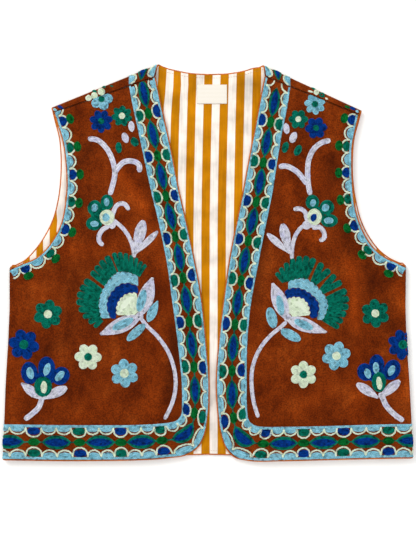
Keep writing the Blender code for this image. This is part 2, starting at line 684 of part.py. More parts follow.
def triangulate(outline, lines, loops, spacing):
    """Points and triangles that fill an outline, and which point is each of the outline's."""
    grid = grid_inside(outline, [*lines, *loops], spacing)
    points, edges = [*outline], []
    for path, closed in [(line, False) for line in lines] + [(loop, True) for loop in loops]:
        first, count = len(points), len(path)
        points += [*path]
        edges += [(first + k, first + k + 1) for k in range(count - 1)]
        if closed:
            edges.append((first + count - 1, first))
    points += [*grid]
    border = [list(range(len(outline)))]
    found = delaunay_2d_cdt([Vector(point) for point in points], edges, border, 1, 1e-5)
    rim = {
        start: k for k, starts in enumerate(found[3]) for start in starts if start < len(outline)
    }
    return np.array([tuple(point) for point in found[0]]), [list(face) for face in found[2]], rim


def new_object(name, kind, points, faces):
    """A mesh object from points in millimetres, with its own material."""
    mesh = bpy.data.meshes.new(name)
    mesh.from_pydata([tuple(p) for p in np.asarray(points) * MM], [], faces)
    obj = bpy.data.objects.new(name, mesh)
    bpy.data.collections["Waistcoat"].objects.link(obj)
    bm = bmesh.new()
    bm.from_mesh(mesh)
    bmesh.ops.recalc_face_normals(bm, faces=bm.faces)
    bm.to_mesh(mesh)
    bm.free()
    mesh.shade_smooth()
    mesh.set_sharp_from_angle(angle=math.radians(40))
    mesh.materials.append(material(name, kind))
    return obj


def material(name, kind):
    colour, roughness, metallic = COLOURS[kind]
    made = bpy.data.materials.new(name)
    made.use_nodes = True
    shader = made.node_tree.nodes["Principled BSDF"]
    shader.inputs["Base Color"].default_value = colour
    shader.inputs["Roughness"].default_value = roughness
    shader.inputs["Metallic"].default_value = metallic
    made.diffuse_color = colour
    return made


def cloth(name, kind, outline, lines, loops, spacing, place):
    """A panel of cloth with embroidery raised in its outer points over a plain inside."""
    half = THICKNESS[kind] / 2
    raised = [inset(loop, BEVEL) for loop in loops]
    outer, outer_faces, outer_rim = triangulate(outline, lines, [*loops, *raised], spacing)
    inner, inner_faces, inner_rim = triangulate(outline, lines, [], spacing)
    lift = np.full(len(outer), half)
    for loop in raised:
        lift[inside(outer, loop) | (distance(outer, loop) < 0.01)] = half + RELIEF
    shift = len(outer)
    faces = outer_faces + [[shift + k for k in face[::-1]] for face in inner_faces]
    for k in range(len(outline)):
        after = (k + 1) % len(outline)
        faces.append((outer_rim[k], shift + inner_rim[k], shift + inner_rim[after]))
        faces.append((outer_rim[k], shift + inner_rim[after], outer_rim[after]))
    points = np.vstack([place(outer, lift), place(inner, np.full(len(inner), -half))])
    return new_object(name, kind, points, faces)


def inset(outline, width):
    """A closed outline moved inwards."""
    ahead = np.roll(outline, -1, axis=0) - outline
    ahead /= np.maximum(np.hypot(*ahead.T), 1e-9)[:, None]
    behind = np.roll(ahead, 1, axis=0)
    inwards = np.stack([-ahead[:, 1] - behind[:, 1], ahead[:, 0] + behind[:, 0]], axis=1)
    inwards /= np.maximum(np.hypot(*inwards.T), 0.4)[:, None]
    return outline + width * math.copysign(1.0, area(outline)) * inwards


# Pieces

def make_back(layer, name):
    outline, lines = back_outline(layer)
    cloth(name, layer, outline, lines, [], GRID["back"],
          lambda points, lift: place_back(points, lift, layer))


def make_front(side, layer, name):
    outline, lines = front_outline(side, layer)
    loops = embroidery(side) if layer == "velvet" else []
    cloth(name, layer, outline, lines, loops, GRID["front"],
          lambda points, lift: place_front(points, lift, side, layer))


def make_label():
    """The woven label on the back lining, in the middle of the neck."""
    bpy.ops.mesh.primitive_cube_add(size=1.0)
    label = bpy.context.object
    label.name = "label"
    label.data.name = "label"
    label.scale = np.array(LABEL_SIZE) * MM
    bpy.ops.object.transform_apply(location=False, rotation=False, scale=True)
    height = VELVET + GAP + LINING + GAP + LABEL_SIZE[2] / 2
    label.location = np.array([*LABEL_CENTRE, height]) * MM
    label.data.materials.append(material("label", "label"))
    for collection in label.users_collection:
        collection.objects.unlink(label)
    bpy.data.collections["Waistcoat"].objects.link(label)


def main():
    for obj in list(bpy.data.objects):
        bpy.data.objects.remove(obj)
    bpy.context.scene.collection.children.link(bpy.data.collections.new("Waistcoat"))
    make_back("velvet", "back_velvet")
    make_back("lining", "back_lining")
    for side, word in SIDES.items():
        make_front(side, "velvet", f"front_{word}_velvet")
        make_front(side, "lining", f"front_{word}_lining")
    make_label()


main()
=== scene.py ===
"""The looks of a rust-brown velvet waistcoat, laid flat and seen from above.

Each cut piece is drawn flat and folded into place, as its solid is. Velvet fronts and back have
rolled edges, the linings have woven mustard stripes, and the embroidery is wool chain stitch on
low padding, row beside row. Lengths are in millimetres; x runs outwards from the middle of the
garment on either side, y runs up to the neck, and z is the height above the floor.
"""
import math
from functools import partial

import bpy
import numpy as np
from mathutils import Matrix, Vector
from mathutils.geometry import delaunay_2d_cdt


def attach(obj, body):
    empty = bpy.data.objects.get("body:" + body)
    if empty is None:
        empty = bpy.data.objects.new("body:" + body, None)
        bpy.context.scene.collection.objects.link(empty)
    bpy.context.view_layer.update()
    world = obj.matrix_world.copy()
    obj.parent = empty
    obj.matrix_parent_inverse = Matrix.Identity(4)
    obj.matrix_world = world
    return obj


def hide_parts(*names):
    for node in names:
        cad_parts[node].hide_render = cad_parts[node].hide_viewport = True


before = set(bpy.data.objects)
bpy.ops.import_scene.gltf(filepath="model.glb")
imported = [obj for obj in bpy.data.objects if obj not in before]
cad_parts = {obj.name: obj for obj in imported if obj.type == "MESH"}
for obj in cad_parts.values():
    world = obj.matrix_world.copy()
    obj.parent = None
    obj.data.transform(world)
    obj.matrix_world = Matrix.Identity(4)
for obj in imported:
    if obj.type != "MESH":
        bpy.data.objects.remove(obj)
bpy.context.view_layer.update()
MM = 0.001
rng = np.random.default_rng(11)    # small irregularities of hand work, the same in each run

# Cloth and how it lies
VELVET = 1.4
LINING = 1.0
GAP = 0.3               # between one layer of cloth and the next
AIR = 2.9               # between the back's lining and a front's, where the front is held up
THICKNESS = {"velvet": VELVET, "lining": LINING}
# Height of the middle of each panel's wall
HEIGHTS = {
    ("velvet", "back"): VELVET / 2,
    ("lining", "back"): VELVET + GAP + LINING / 2,
    ("lining", "front"): VELVET + GAP + LINING + AIR + LINING / 2,
    ("velvet", "front"): VELVET + GAP + LINING + AIR + LINING + GAP + VELVET / 2,
}
LINING_INSET = 1.5      # the lining ends this far inside the velvet's free edges
UNDERARM_DROP = 4.5     # the underarm slopes down this much to the side seam
SETTLE_WIDTH = 70.0     # a front sinks onto the back within this distance of its opening,
SEAM_HOLD = 80.0        # and the shoulder seam holds it up over this distance below
ARC_STEPS = 6           # facets in a quarter turn of a roll of cloth
EDGE_STEP = 4.0         # between the points along a free edge
EDGE_ROUND = 1.3        # the pile rounds off this far from a panel's edge
GRID = {"front": 7.0, "back": 14.0}
LEFT, RIGHT = 0, 1
SIDES = {LEFT: "left", RIGHT: "right"}
OUTWARD = {LEFT: -1.0, RIGHT: 1.0}
# A strap's edges meet the shoulder fold this far along from its neck end and from its arm end
NECK_EDGE_START = -3.5
TIP_EDGE_START = 1.0
# The turned edge of the velvet: its distance inside the edge, lift, half width and half height
TURNED_EDGE_INSET = 1.05
TURNED_EDGE_LIFT = -0.45
TURNED_EDGE_ROLL = (1.2, 1.3)

# Chain stitch. A loop starts inside the one before it, so the pitch is less than the length
STITCH_LENGTH = 3.4
STITCH_PITCH = 2.8
STITCH_WIDTH = 1.45
YARN = 0.37             # half the yarn's thickness
LOOP_SEGMENTS = 7
YARN_SIDES = ((0.0, 1.0), (0.87, -0.5), (-0.87, -0.5))
ROW_SPACING = 2.25
FIRST_ROW = 1.1         # from a motif's edge to the middle of its first row
TRACE_STEP = 1.2        # between the points that a motif's rows are traced with
PAD_STEP = 1.8          # between the points along a padding's edge
PAD_ROUND = 0.9         # the padding rounds down over this distance from its edge
PAD_LIFT = 0.4          # padding under the stitches, above the velvet
LEVEL_LIFT = 0.3        # each motif worked over another stands this much higher
STITCH_LIFT = 0.12      # a motif's stitches above their padding
ROPE_LIFT = 0.25        # a rope's stitches above theirs
ROPE_WIDTH = 1.25       # the cream ropes' stitches, beside those of the motifs
LINE_WIDTH = 1.05       # the same of the short green lines

LIGHT = 1.12            # the studio light, over what the colours below are given for

# Every table below has x and y for the left front and then for the right
OPEN_EDGE = np.array((
    (69.8, 248.0, 75.8, 249.0),
    (63.3, 218.0, 69.6, 218.5),
    (55.0, 180.5, 62.5, 179.5),
    (47.4, 145.5, 55.8, 146.0),
    (38.1, 97.0, 46.8, 97.0),
    (29.5, 60.0, 39.2, 60.0),
    (18.3, 8.0, 29.0, 8.0),
    (9.1, -40.0, 21.8, -40.5),
    (1.4, -112.0, 13.5, -112.0),
    (-2.3, -170.0, 10.6, -170.0),
    (-0.5, -205.0, 13.2, -205.0),
    (4.0, -229.0, 17.0, -229.0),
    (12.0, -245.5, 24.0, -248.0),
    (26.0, -255.8, 35.0, -259.6),
    (52.0, -260.5, 52.0, -263.9),
    (92.0, -263.3, 96.0, -264.6),
    (144.0, -264.2, 150.0, -263.4),
    (200.0, -264.4, 205.0, -262.0),
    (262.0, -263.4, 262.0, -261.0),
))
BORDER_INNER = np.array((
    (105.4, 236.5, 110.1, 234.3),
    (99.4, 205.0, 105.6, 206.0),
    (92.8, 175.0, 98.4, 170.0),
    (85.6, 141.0, 93.1, 138.0),
    (75.4, 94.0, 86.0, 92.0),
    (65.8, 54.0, 78.2, 54.0),
    (54.1, -4.0, 67.2, -2.0),
    (47.8, -50.0, 58.2, -50.0),
    (39.8, -110.0, 52.4, -110.0),
    (34.7, -165.0, 51.9, -165.0),
    (34.6, -190.0, 52.2, -192.0),
    (35.8, -203.0, 54.0, -208.0),
    (41.4, -210.0, 57.8, -213.9),
    (49.6, -212.5, 64.2, -217.2),
    (65.4, -214.4, 73.6, -218.5),
    (96.0, -216.0, 101.0, -218.5),
    (148.0, -216.3, 152.0, -217.6),
    (202.0, -216.2, 206.0, -216.0),
    (262.0, -215.3, 262.0, -214.8),
))
FRONT_ARMHOLE = np.array((
    (205.7, 200.3, 201.9, 197.3),
    (198.8, 179.0, 197.2, 177.0),
    (193.8, 162.0, 193.6, 160.0),
    (189.6, 132.0, 192.5, 134.0),
    (188.2, 105.0, 193.3, 105.0),
    (190.9, 74.0, 196.7, 74.0),
    (195.8, 52.0, 202.5, 53.0),
    (203.8, 35.0, 210.2, 36.0),
    (215.3, 18.8, 222.5, 18.8),
    (229.5, 6.3, 238.4, 6.6),
    (247.5, -1.2, 253.0, 0.2),
    (257.0, -5.3, 257.0, -2.0),
))
BACK_ARMHOLE = np.array((
    (203.8, 186.0, 201.5, 187.0),
    (199.0, 167.0, 196.4, 168.0),
    (196.6, 140.0, 193.9, 140.0),
    (197.0, 115.0, 194.1, 115.0),
    (200.5, 84.0, 198.1, 84.0),
    (207.4, 58.0, 205.7, 55.0),
    (218.8, 35.0, 216.4, 34.0),
    (231.6, 17.0, 229.6, 17.0),
    (246.5, 2.5, 244.9, 5.5),
    (257.0, -2.8, 257.0, 0.0),
))
BACK_NECK = np.array((
    (0.0, 252.0, 0.0, 252.0),
    (25.0, 253.7, 28.6, 253.2),
    (43.0, 257.3, 50.0, 257.0),
    (54.0, 260.0, 62.0, 260.6),
))
BACK_HEM = np.array((
    (262.0, -259.5, 262.0, -257.5),
    (200.0, -260.5, 200.0, -259.0),
    (100.0, -259.0, 100.0, -259.0),
    (0.0, -256.4, 0.0, -256.4),
))
SIDE_FOLD = np.array((
    (264.8, 0.0, 264.6, 0.0),
    (264.6, -60.0, 263.8, -60.0),
    (266.5, -105.0, 265.3, -105.0),
    (269.8, -159.0, 269.1, -159.0),
    (271.5, -205.0, 271.6, -205.0),
    (273.8, -260.0, 273.8, -260.0),
))
SHOULDER_FOLD = np.array((
    (65.4, 265.0, 73.5, 263.6),
    (208.5, 206.9, 205.3, 202.8),
))
# Soft folds of a front: from x, y to x, y, then width and height
SOFT_FOLDS = {
    LEFT: (
        (150.0, 150.0, 70.0, 40.0, 22.0, 0.9),
        (245.0, -15.0, 190.0, -75.0, 20.0, 0.8),
        (190.0, 20.0, 120.0, -20.0, 26.0, 0.7),
        (175.0, -210.0, 100.0, -120.0, 24.0, 0.7),
        (235.0, -130.0, 240.0, -215.0, 16.0, -0.6),
    ),
    RIGHT: (
        (195.0, 20.0, 200.0, -170.0, 16.0, 0.9),
        (150.0, 150.0, 175.0, 20.0, 22.0, 0.7),
        (115.0, -215.0, 190.0, -150.0, 20.0, 0.8),
        (245.0, -170.0, 215.0, -215.0, 16.0, 0.6),
        (232.0, -20.0, 236.0, -90.0, 14.0, -0.6),
    ),
}

# Painted sheen and fold shade of a front's pile, lighter bands and darker ones: from x, y to x, y, width
# and how much
PILE_SHEEN_AND_SHADE = {
    LEFT: (
        (120.5, 127.0, 87.0, 77.0, 10.0, 1.0), (84.0, 70.0, 48.0, -50.0, 9.0, 0.45),
        (77.0, 130.0, 66.5, 63.6, 9.0, -0.5), (157.0, 157.0, 170.5, 130.0, 8.0, -0.7),
        (177.0, 217.0, 157.0, 219.6, 9.0, 0.7), (120.0, 238.0, 109.0, 241.0, 9.0, 0.6),
        (197.0, 17.0, 120.0, 22.0, 8.0, 0.5), (177.0, -16.0, 189.0, -103.0, 14.0, -0.5),
        (230.5, -29.7, 194.5, -83.0, 8.0, 0.4), (45.0, -96.0, 50.5, -183.0, 8.0, -1.0),
        (70.5, -110.0, 77.0, -196.0, 12.0, 0.3), (210.5, -110.0, 217.0, -130.0, 10.0, -0.5),
        (257.0, -116.0, 258.5, -183.0, 6.0, 0.4), (237.0, -176.0, 230.5, -203.0, 10.0, -0.4),
        (177.0, -210.0, 137.0, -190.0, 9.0, 0.35), (157.0, 83.6, 160.0, 37.0, 12.0, -0.35),
    ),
    RIGHT: (
        (80.0, 97.0, 63.0, -50.0, 9.0, -0.7), (165.5, 137.0, 167.0, 110.0, 8.0, -0.7),
        (139.0, 130.0, 141.5, 103.6, 9.0, 0.5), (107.0, 103.6, 105.5, 83.6, 8.0, 0.4),
        (116.0, 50.0, 149.5, 30.0, 8.0, 0.6), (183.0, 50.0, 192.0, 17.0, 9.0, -0.7),
        (189.5, 1.0, 196.0, -83.0, 9.0, 1.0), (215.0, -3.0, 217.5, -36.0, 8.0, -0.7),
        (256.0, -30.0, 267.0, -70.0, 8.0, 1.0), (236.0, -56.0, 240.0, -83.0, 8.0, -0.5),
        (203.0, -116.0, 199.0, -203.0, 10.0, 0.6), (267.0, -143.0, 263.0, -176.0, 8.0, 0.9),
        (120.0, -196.0, 160.0, -167.0, 9.0, 0.4), (183.0, -90.0, 187.0, -110.0, 8.0, -0.3),
    ),
}

# Embroidered motifs. Rosettes of each front: x, y, radius, petals, angle of the first petal in
# degrees, colour of the petals and of the middle, and the middle's share of the radius
ROSETTES = {
    LEFT: (
        (141.7, 218.1, 15.0, 5, 178, "light_blue", "dark_green", 0.30),
        (142.1, 188.4, 15.4, 7, -90, "navy", "dark_green", 0.27),
        (114.5, 195.5, 14.0, 7, 95, "dark_green", "cream", 0.32),
        (212.9, -68.5, 19.3, 6, 40, "dark_green", "cream", 0.30),
        (245.0, -109.0, 20.4, 6, 12, "navy", "dark_green", 0.31),
        (159.5, -125.5, 18.0, 6, 62, "cream", "dark_green", 0.31),
        (111.0, -147.3, 18.9, 6, 85, "light_blue", "cream", 0.33),
    ),
    RIGHT: (
        (142.6, 211.2, 14.2, 7, 70, "light_blue", "dark_green", 0.32),
        (144.1, 179.5, 14.6, 6, 65, "navy", "dark_green", 0.28),
        (120.5, 191.1, 13.0, 6, 60, "dark_green", "cream", 0.33),
        (223.0, -67.5, 19.0, 6, 35, "dark_green", "cream", 0.29),
        (259.7, -109.1, 20.2, 7, 5, "navy", "dark_green", 0.30),
        (127.3, -148.9, 18.0, 6, 30, "cream", "dark_green", 0.30),
        (171.2, -124.1, 19.2, 6, 75, "light_blue", "cream", 0.31),
    ),
}
# Ovals: x, y, half width, half length, outward tilt in degrees, colour, order of working
OVALS = {
    LEFT: (
        (101.8, 181.6, 4.3, 7.4, 6, "lavender", 0), (110.1, 166.4, 4.6, 7.4, 20, "lavender", 0),
        (97.6, 160.9, 5.2, 6.6, 33, "dark_green", 0), (118.7, 153.2, 4.4, 7.6, 5, "dark_green", 0),
        (134.2, 80.6, 8.6, 10.4, 6, "dark_green", 0), (150.8, 72.9, 9.6, 10.6, -10, "dark_green", 0),
        (151.3, 52.5, 11.0, 9.6, 8, "dark_green", 0), (139.5, 67.0, 7.0, 9.0, 0, "dark_green", 0),
        (146.5, 63.5, 9.5, 9.0, 0, "dark_green", 0), (127.5, 51.5, 5.5, 6.5, 0, "lavender", 0),
        (134.7, 80.8, 3.9, 5.8, 0, "light_blue", 1), (150.8, 73.1, 4.6, 5.6, -18, "light_blue", 1),
        (150.9, 51.7, 5.9, 4.3, 0, "light_blue", 1), (134.3, 60.3, 10.1, 10.7, 10, "cream", 1),
        (135.7, 60.3, 5.2, 5.7, -10, "light_blue", 2),
        (88.2, -50.4, 6.0, 15.6, -15, "light_blue", 2),
        (113.2, -81.7, 5.7, 15.9, 116, "light_blue", 2),
        (95.5, -92.7, 6.0, 16.6, 132, "light_blue", 0),
        (217.0, -153.5, 18.0, 8.0, 0, "navy", 0), (237.6, -147.0, 11.2, 15.2, 6, "navy", 0),
        (214.8, -140.5, 11.6, 15.6, 0, "navy", 0), (196.0, -150.8, 11.4, 12.8, -40, "navy", 0),
        (236.5, -147.2, 4.9, 8.4, 14, "light_blue", 1), (214.2, -142.0, 4.7, 8.8, -16, "light_blue", 1),
        (197.2, -150.8, 4.8, 8.2, -42, "light_blue", 1),
        (219.4, -165.2, 12.2, 13.8, 0, "dark_green", 1), (218.3, -165.8, 4.6, 8.4, 0, "cream", 2),
    ),
    RIGHT: (
        (104.7, 178.8, 4.3, 7.4, -8, "lavender", 0), (113.7, 166.8, 4.8, 7.8, 22, "lavender", 0),
        (103.2, 153.7, 4.6, 7.7, 18, "dark_green", 0), (119.9, 149.6, 4.8, 8.0, 26, "dark_green", 0),
        (139.3, 80.6, 9.2, 10.2, -5, "dark_green", 0), (158.6, 73.6, 9.8, 10.2, 20, "dark_green", 0),
        (131.5, 50.0, 6.0, 6.0, 0, "lavender", 0),
        (161.9, 55.9, 11.4, 8.8, -5, "dark_green", 0), (148.0, 66.0, 8.0, 9.0, 0, "dark_green", 0),
        (140.0, 79.6, 4.0, 5.4, 20, "light_blue", 1), (156.6, 73.2, 4.8, 5.6, 40, "light_blue", 1),
        (160.9, 56.0, 6.6, 4.6, 0, "light_blue", 1), (142.0, 61.0, 9.9, 11.2, 0, "cream", 1),
        (140.8, 60.0, 4.2, 5.4, 20, "navy", 2),
        (96.4, -56.8, 5.2, 14.0, -10, "light_blue", 2),
        (127.4, -82.3, 5.5, 13.8, 114, "light_blue", 2),
        (85.0, -73.3, 7.1, 14.5, -14, "light_blue", 0),
        (110.4, -96.3, 6.8, 15.0, 117, "light_blue", 0),
        (225.5, -150.5, 17.0, 8.0, 0, "navy", 0), (245.4, -142.6, 11.0, 14.0, 20, "navy", 0),
        (224.9, -136.4, 10.2, 14.4, 0, "navy", 0), (209.6, -145.7, 10.8, 12.0, -24, "navy", 0),
        (244.6, -143.4, 4.6, 7.6, 24, "light_blue", 1), (223.9, -140.0, 4.4, 8.0, -4, "light_blue", 1),
        (212.8, -147.4, 4.6, 7.0, -20, "light_blue", 1),
        (227.8, -158.8, 9.8, 13.6, 0, "dark_green", 1), (228.2, -160.4, 4.0, 9.0, -8, "cream", 2),
    ),
}
# Leaves: base x and y, tip x and y, width, how far along it is widest, colour, order
LEAVES = {
    LEFT: (
        (98.0, 9.5, 85.8, 56.5, 15.6, 0.66, "lavender", 0),
        (96.5, 12.0, 66.5, 42.0, 9.0, 0.60, "lavender", 0),
        (90.5, -71.0, 73.6, -19.5, 21.5, 0.46, "lavender", 1),
        (90.0, -72.0, 143.5, -95.5, 20.5, 0.44, "lavender", 1),
        (80.0, -79.0, 66.6, -50.6, 12.6, 0.42, "light_blue", 0),
        (221.5, -181.5, 249.0, -160.0, 13.0, 0.48, "lavender", 0),
        (219.5, -181.0, 187.5, -166.0, 13.5, 0.60, "lavender", 0),
    ),
    RIGHT: (
        (109.0, 12.0, 99.4, 52.0, 13.8, 0.66, "lavender", 0),
        (107.5, 13.5, 79.0, 38.8, 9.4, 0.60, "lavender", 0),
        (105.5, -76.5, 86.0, -27.0, 20.5, 0.48, "lavender", 1),
        (105.0, -74.8, 158.0, -92.8, 18.4, 0.42, "lavender", 1),
        (228.5, -180.0, 256.0, -157.0, 12.8, 0.60, "lavender", 0),
        (227.0, -180.0, 198.0, -161.0, 12.8, 0.60, "lavender", 0),
    ),
}
# Vines and stems: the width, then points with x and y on each side
VINES = (
    (7.2, ((159.5, 165.2, 163.4, 163.1), (147.7, 163.6, 152.5, 160.3), (135.5, 153.0, 141.5, 151.7),
           (126.5, 135.0, 134.7, 138.0), (123.8, 117.0, 132.9, 120.0), (126.5, 104.3, 133.9, 104.0),
           (130.5, 90.0, 136.4, 90.0))),
    (7.4, ((125.0, 118.5, 133.0, 104.0), (118.5, 128.0, 126.0, 113.0), (112.0, 134.0, 119.0, 121.0),
           (103.0, 135.6, 113.0, 125.0), (92.0, 131.0, 105.0, 128.6), (90.8, 120.5, 94.5, 128.0))),
    (6.2, ((129.0, 56.0, 135.5, 50.0), (125.5, 68.0, 132.0, 58.0), (122.0, 75.5, 129.0, 68.0),
           (118.0, 78.5, 124.0, 71.6), (110.5, 78.0, 120.1, 72.0), (105.2, 70.0, 114.0, 71.0))),
    (6.4, ((131.0, 49.5, 139.0, 46.0), (140.5, 43.5, 148.5, 47.5), (145.0, 35.5, 154.4, 41.0),
           (144.5, 28.0, 155.0, 33.0), (139.0, 23.0, 148.6, 29.0))),
    (5.6, ((128.0, 58.0, 141.5, 49.0), (121.0, 53.0, 128.5, 49.5), (110.5, 42.7, 118.5, 39.5),
           (103.3, 30.5, 114.0, 28.5), (99.5, 19.0, 112.0, 16.0), (97.9, 6.8, 112.2, 4.5))),
    (5.4, ((89.0, -74.0, 105.0, -78.5), (82.5, -82.7, 97.4, -85.5), (69.0, -96.0, 84.0, -96.5),
           (53.5, -117.5, 68.5, -116.0), (44.8, -142.0, 59.3, -141.0), (42.8, -163.0, 58.3, -163.0),
           (46.5, -184.0, 61.0, -185.0), (57.6, -208.8, 67.2, -206.3))),
    (7.4, ((220.0, -176.0, 229.0, -173.0), (222.1, -184.2, 233.0, -180.7),
           (225.1, -192.4, 237.0, -189.5), (232.7, -200.1, 247.0, -200.7),
           (244.2, -209.1, 260.7, -210.9))),
)
# Feathered flower: its hub, then rings with the end angles and five radii between them, and
# the number of scallops
FAN_HUB = np.array((91.1, -71.7, 106.1, -73.2))
FAN_HEART = 5.4          # radius of the disc on the hub
FAN_ROOT = 6.0           # radius at which the first ring starts
SCALLOP_DEPTH = 2.2      # of the rings' wavy edges
FINGER_LEAN = 9.0        # how many degrees the outermost fingers' roots lie nearer the middle
FAN_RINGS = {
    LEFT: (
        ("cream", 4.0, 84.0, (31.0, 34.0, 35.6, 35.0, 32.0), 7),
        ("navy", -5.0, 87.0, (37.5, 46.0, 49.5, 49.5, 40.5), 9),
        ("light_blue", -3.0, 88.0, (51.0, 58.0, 62.5, 66.0, 54.5), 13),
    ),
    RIGHT: (
        ("cream", 6.0, 92.0, (30.5, 32.8, 33.4, 30.0, 25.0), 7),
        ("navy", -1.0, 96.0, (39.0, 45.6, 44.4, 42.0, 36.5), 9),
        ("light_blue", -4.0, 89.0, (47.5, 57.6, 57.6, 57.6, 48.5), 12),
    ),
}
# Fingers of the same flower, in groups: first and last angle, how many, how far apart their
# roots are as a share of their tips, and their width as a share of what would close the gaps
FINGERS = {
    LEFT: ((-13.5, 33.6, 8, 1.0, 1.0), (42.8, 61.5, 4, 0.9, 0.96), (68.0, 97.0, 7, 1.0, 1.0)),
    RIGHT: ((-11.0, 24.6, 6, 1.0, 1.0), (33.4, 41.9, 2, 0.3, 0.74), (48.8, 57.8, 2, 0.3, 0.74),
            (66.0, 104.5, 7, 1.0, 1.0)),
}
FINGER_REACH = {LEFT: (62.0, 87.0, 88.0, 91.5, 70.0), RIGHT: (70.0, 86.0, 85.5, 85.5, 62.0)}

# The border's ovals stand abreast at these marks along it
BORDER_MARKS = {
    LEFT: (-11.0, 44.0, 102.0, 157.0, 212.0, 268.0, 327.0, 388.0, 450.0, 515.0, 570.0, 625.0, 686.0,
           750.0),
    RIGHT: (1.0, 55.0, 110.0, 163.0, 216.0, 270.0, 329.0, 391.0, 454.0, 515.0, 569.0, 622.0, 682.0,
            742.0),
}
# How far the border's outer rows are pulled round the hem's corner
CORNER_SLIDE = {LEFT: (3.0, 6.4, 3.0), RIGHT: (3.5, 7.2, 3.5)}
# Colours of its outer and inner ovals: n for navy and g for dark green, in the marks' order
OUTER_OVALS = {LEFT: "gngngngngngngng", RIGHT: "gngnngngngngngn"}
INNER_OVALS = {LEFT: "ngngngngngngngn", RIGHT: "ngnggngngngngng"}
# Shares of the border's width, counted from the front's edge: where the rail starts, its width,
# the tops of the ropes over a scallop and over an oval, and the middles of the ovals
BORDER_RIM = 0.04
RAIL = 0.076
SCALLOP_CREST = 0.295
OVAL_CREST = 0.37
OVAL_CENTRE = 0.213
MIDDLE_CENTRE = 0.52
# Half length and half width of its ovals; the lozenges' half width is a share of the border's
SIDE_OVAL = (8.6, 5.2)
MIDDLE_OVAL = (8.0, 5.3)
LOZENGE = (20.2, 0.196)
LOZENGE_HEART = (17.0, 0.114)
BORDER_RUN_ON = 14.0     # how far it goes on round the roll at the side seam
# Where its inner edge meets the shoulder fold
BORDER_FOLD = {LEFT: (105.8, 248.6), RIGHT: (110.0, 248.2)}

# The armhole's border: the distance from one oval to the next, where the first one stands, the
# depths from the edge at which its rail starts and ends, and the tops of its scallops
ARMHOLE_REPEAT = {LEFT: 35.2, RIGHT: 34.5}
ARMHOLE_START = {LEFT: 22.5, RIGHT: 20.7}
ARMHOLE_RIM = (1.6, 4.6)
ARMHOLE_CREST = 13.6
ARMHOLE_FOOT = 7.8       # a scallop starts this far from an oval's middle
# The ropes that arch round an oval: half width at the top, how much wider at the foot, height
ARCH_TOP = 1.6
ARCH_SPREAD = 6.4
ARCH_HEIGHT = 9.4
ARMHOLE_RUN_ON = 9.0     # how far it goes on round the roll at the side seam
# Each oval's depth from the edge, half width and half length
ARMHOLE_OVALS = {
    "dark_green": (8.6, 4.7, 6.8), "navy": (8.8, 5.2, 7.1), "leaf_green": (18.4, 5.2, 7.0),
}

# Parts of a flower and of the armhole's border on the straps, as the ovals above
STRAP_BITS = {
    LEFT: (
        (158.9, 219.3, 4.6, 4.0, 0, "cream"), (151.0, 222.6, 4.6, 4.6, 0, "cream"),
        (141.7, 227.6, 5.2, 5.0, 20, "cream"), (151.4, 228.6, 4.2, 1.8, -22, "dark_green"),
        (139.0, 234.4, 3.8, 1.6, -22, "dark_green"), (128.4, 235.4, 3.0, 1.4, -22, "dark_green"),
        (203.6, 203.8, 3.4, 1.9, -34, "light_blue"), (196.5, 207.2, 4.6, 2.0, -28, "navy"),
    ),
    RIGHT: (
        (144.6, 227.2, 3.8, 4.2, 0, "cream"), (151.8, 223.3, 4.6, 3.2, 30, "dark_green"),
        (141.0, 232.0, 3.4, 1.6, 24, "dark_green"), (136.8, 228.0, 4.0, 1.5, 16, "cream"),
        (158.0, 218.6, 2.6, 1.3, 28, "cream"), (185.6, 207.4, 4.2, 1.9, 26, "leaf_green"),
        (192.8, 205.4, 4.6, 2.0, 22, "navy"), (198.8, 201.6, 2.6, 1.9, 30, "light_blue"),
    ),
}

LABEL_CENTRE = (5.6, 225.0)
LABEL_SIZE = (40.0, 25.5)
STRIPE_PITCH = 21.6      # one mustard and one off-white stripe of the lining


# Curves

def hermite(points, knots, at):
    """Smooth curve through the points, which lie at the knots, read at the places given."""
    slopes = np.gradient(points, knots, axis=0)
    i = np.clip(np.searchsorted(knots, at, side="right") - 1, 0, len(knots) - 2)
    span = (knots[i + 1] - knots[i])[:, None]
    t = (at - knots[i])[:, None] / span
    return ((2 * t**3 - 3 * t**2 + 1) * points[i] + (t**3 - 2 * t**2 + t) * span * slopes[i]
            + (3 * t**2 - 2 * t**3) * points[i + 1] + (t**3 - t**2) * span * slopes[i + 1])


def lengths(points):
    """How far along a path each of its points lies."""
    return np.concatenate([[0.0], np.cumsum(np.hypot(*np.diff(points, axis=0).T))])


def read_along(path, knots, at):
    """Points on the straight stretches of a path, at these distances along it."""
    return np.stack([np.interp(at, knots, path[:, k]) for k in (0, 1)], axis=1)


def unit(directions):
    """The directions, each brought to a length of one."""
    return directions / np.maximum(np.hypot(*directions.T), 1e-9)[:, None]


def left_of(directions):
    """The directions, each turned a quarter to the left."""
    return np.stack([-directions[:, 1], directions[:, 0]], axis=1)


def beside(points, x0, y0, x1, y1):
    """How far along a straight stroke each point lies, from 0 to 1, and how far away from it."""
    start, run = np.array([x0, y0]), np.array([x1 - x0, y1 - y0])
    t = np.clip((points - start) @ run / (run @ run), 0.0, 1.0)
    return t, np.hypot(*(points - start - t[:, None] * run).T)


def curve(points, step):
    """Points about one step apart on a smooth curve through the given ones."""
    points = np.asarray(points, float)
    knots = lengths(points)
    at = np.linspace(0, knots[-1], max(2, round(knots[-1] / step)) + 1)
    return hermite(points, knots, at)


def evenly(path, step, closed=False):
    """Points evenly spaced along straight stretches of a path."""
    path = np.vstack([path, path[:1]]) if closed else np.asarray(path, float)
    knots = lengths(path)
    count = max(4 if closed else 2, round(knots[-1] / step) + 1)
    at = np.linspace(0, knots[-1], count)
    even = read_along(path, knots, at)
    return even[:-1] if closed else even


def shifted(path, distance):
    """The path moved to its left by a distance."""
    return path + distance * left_of(unit(np.gradient(path, axis=0)))


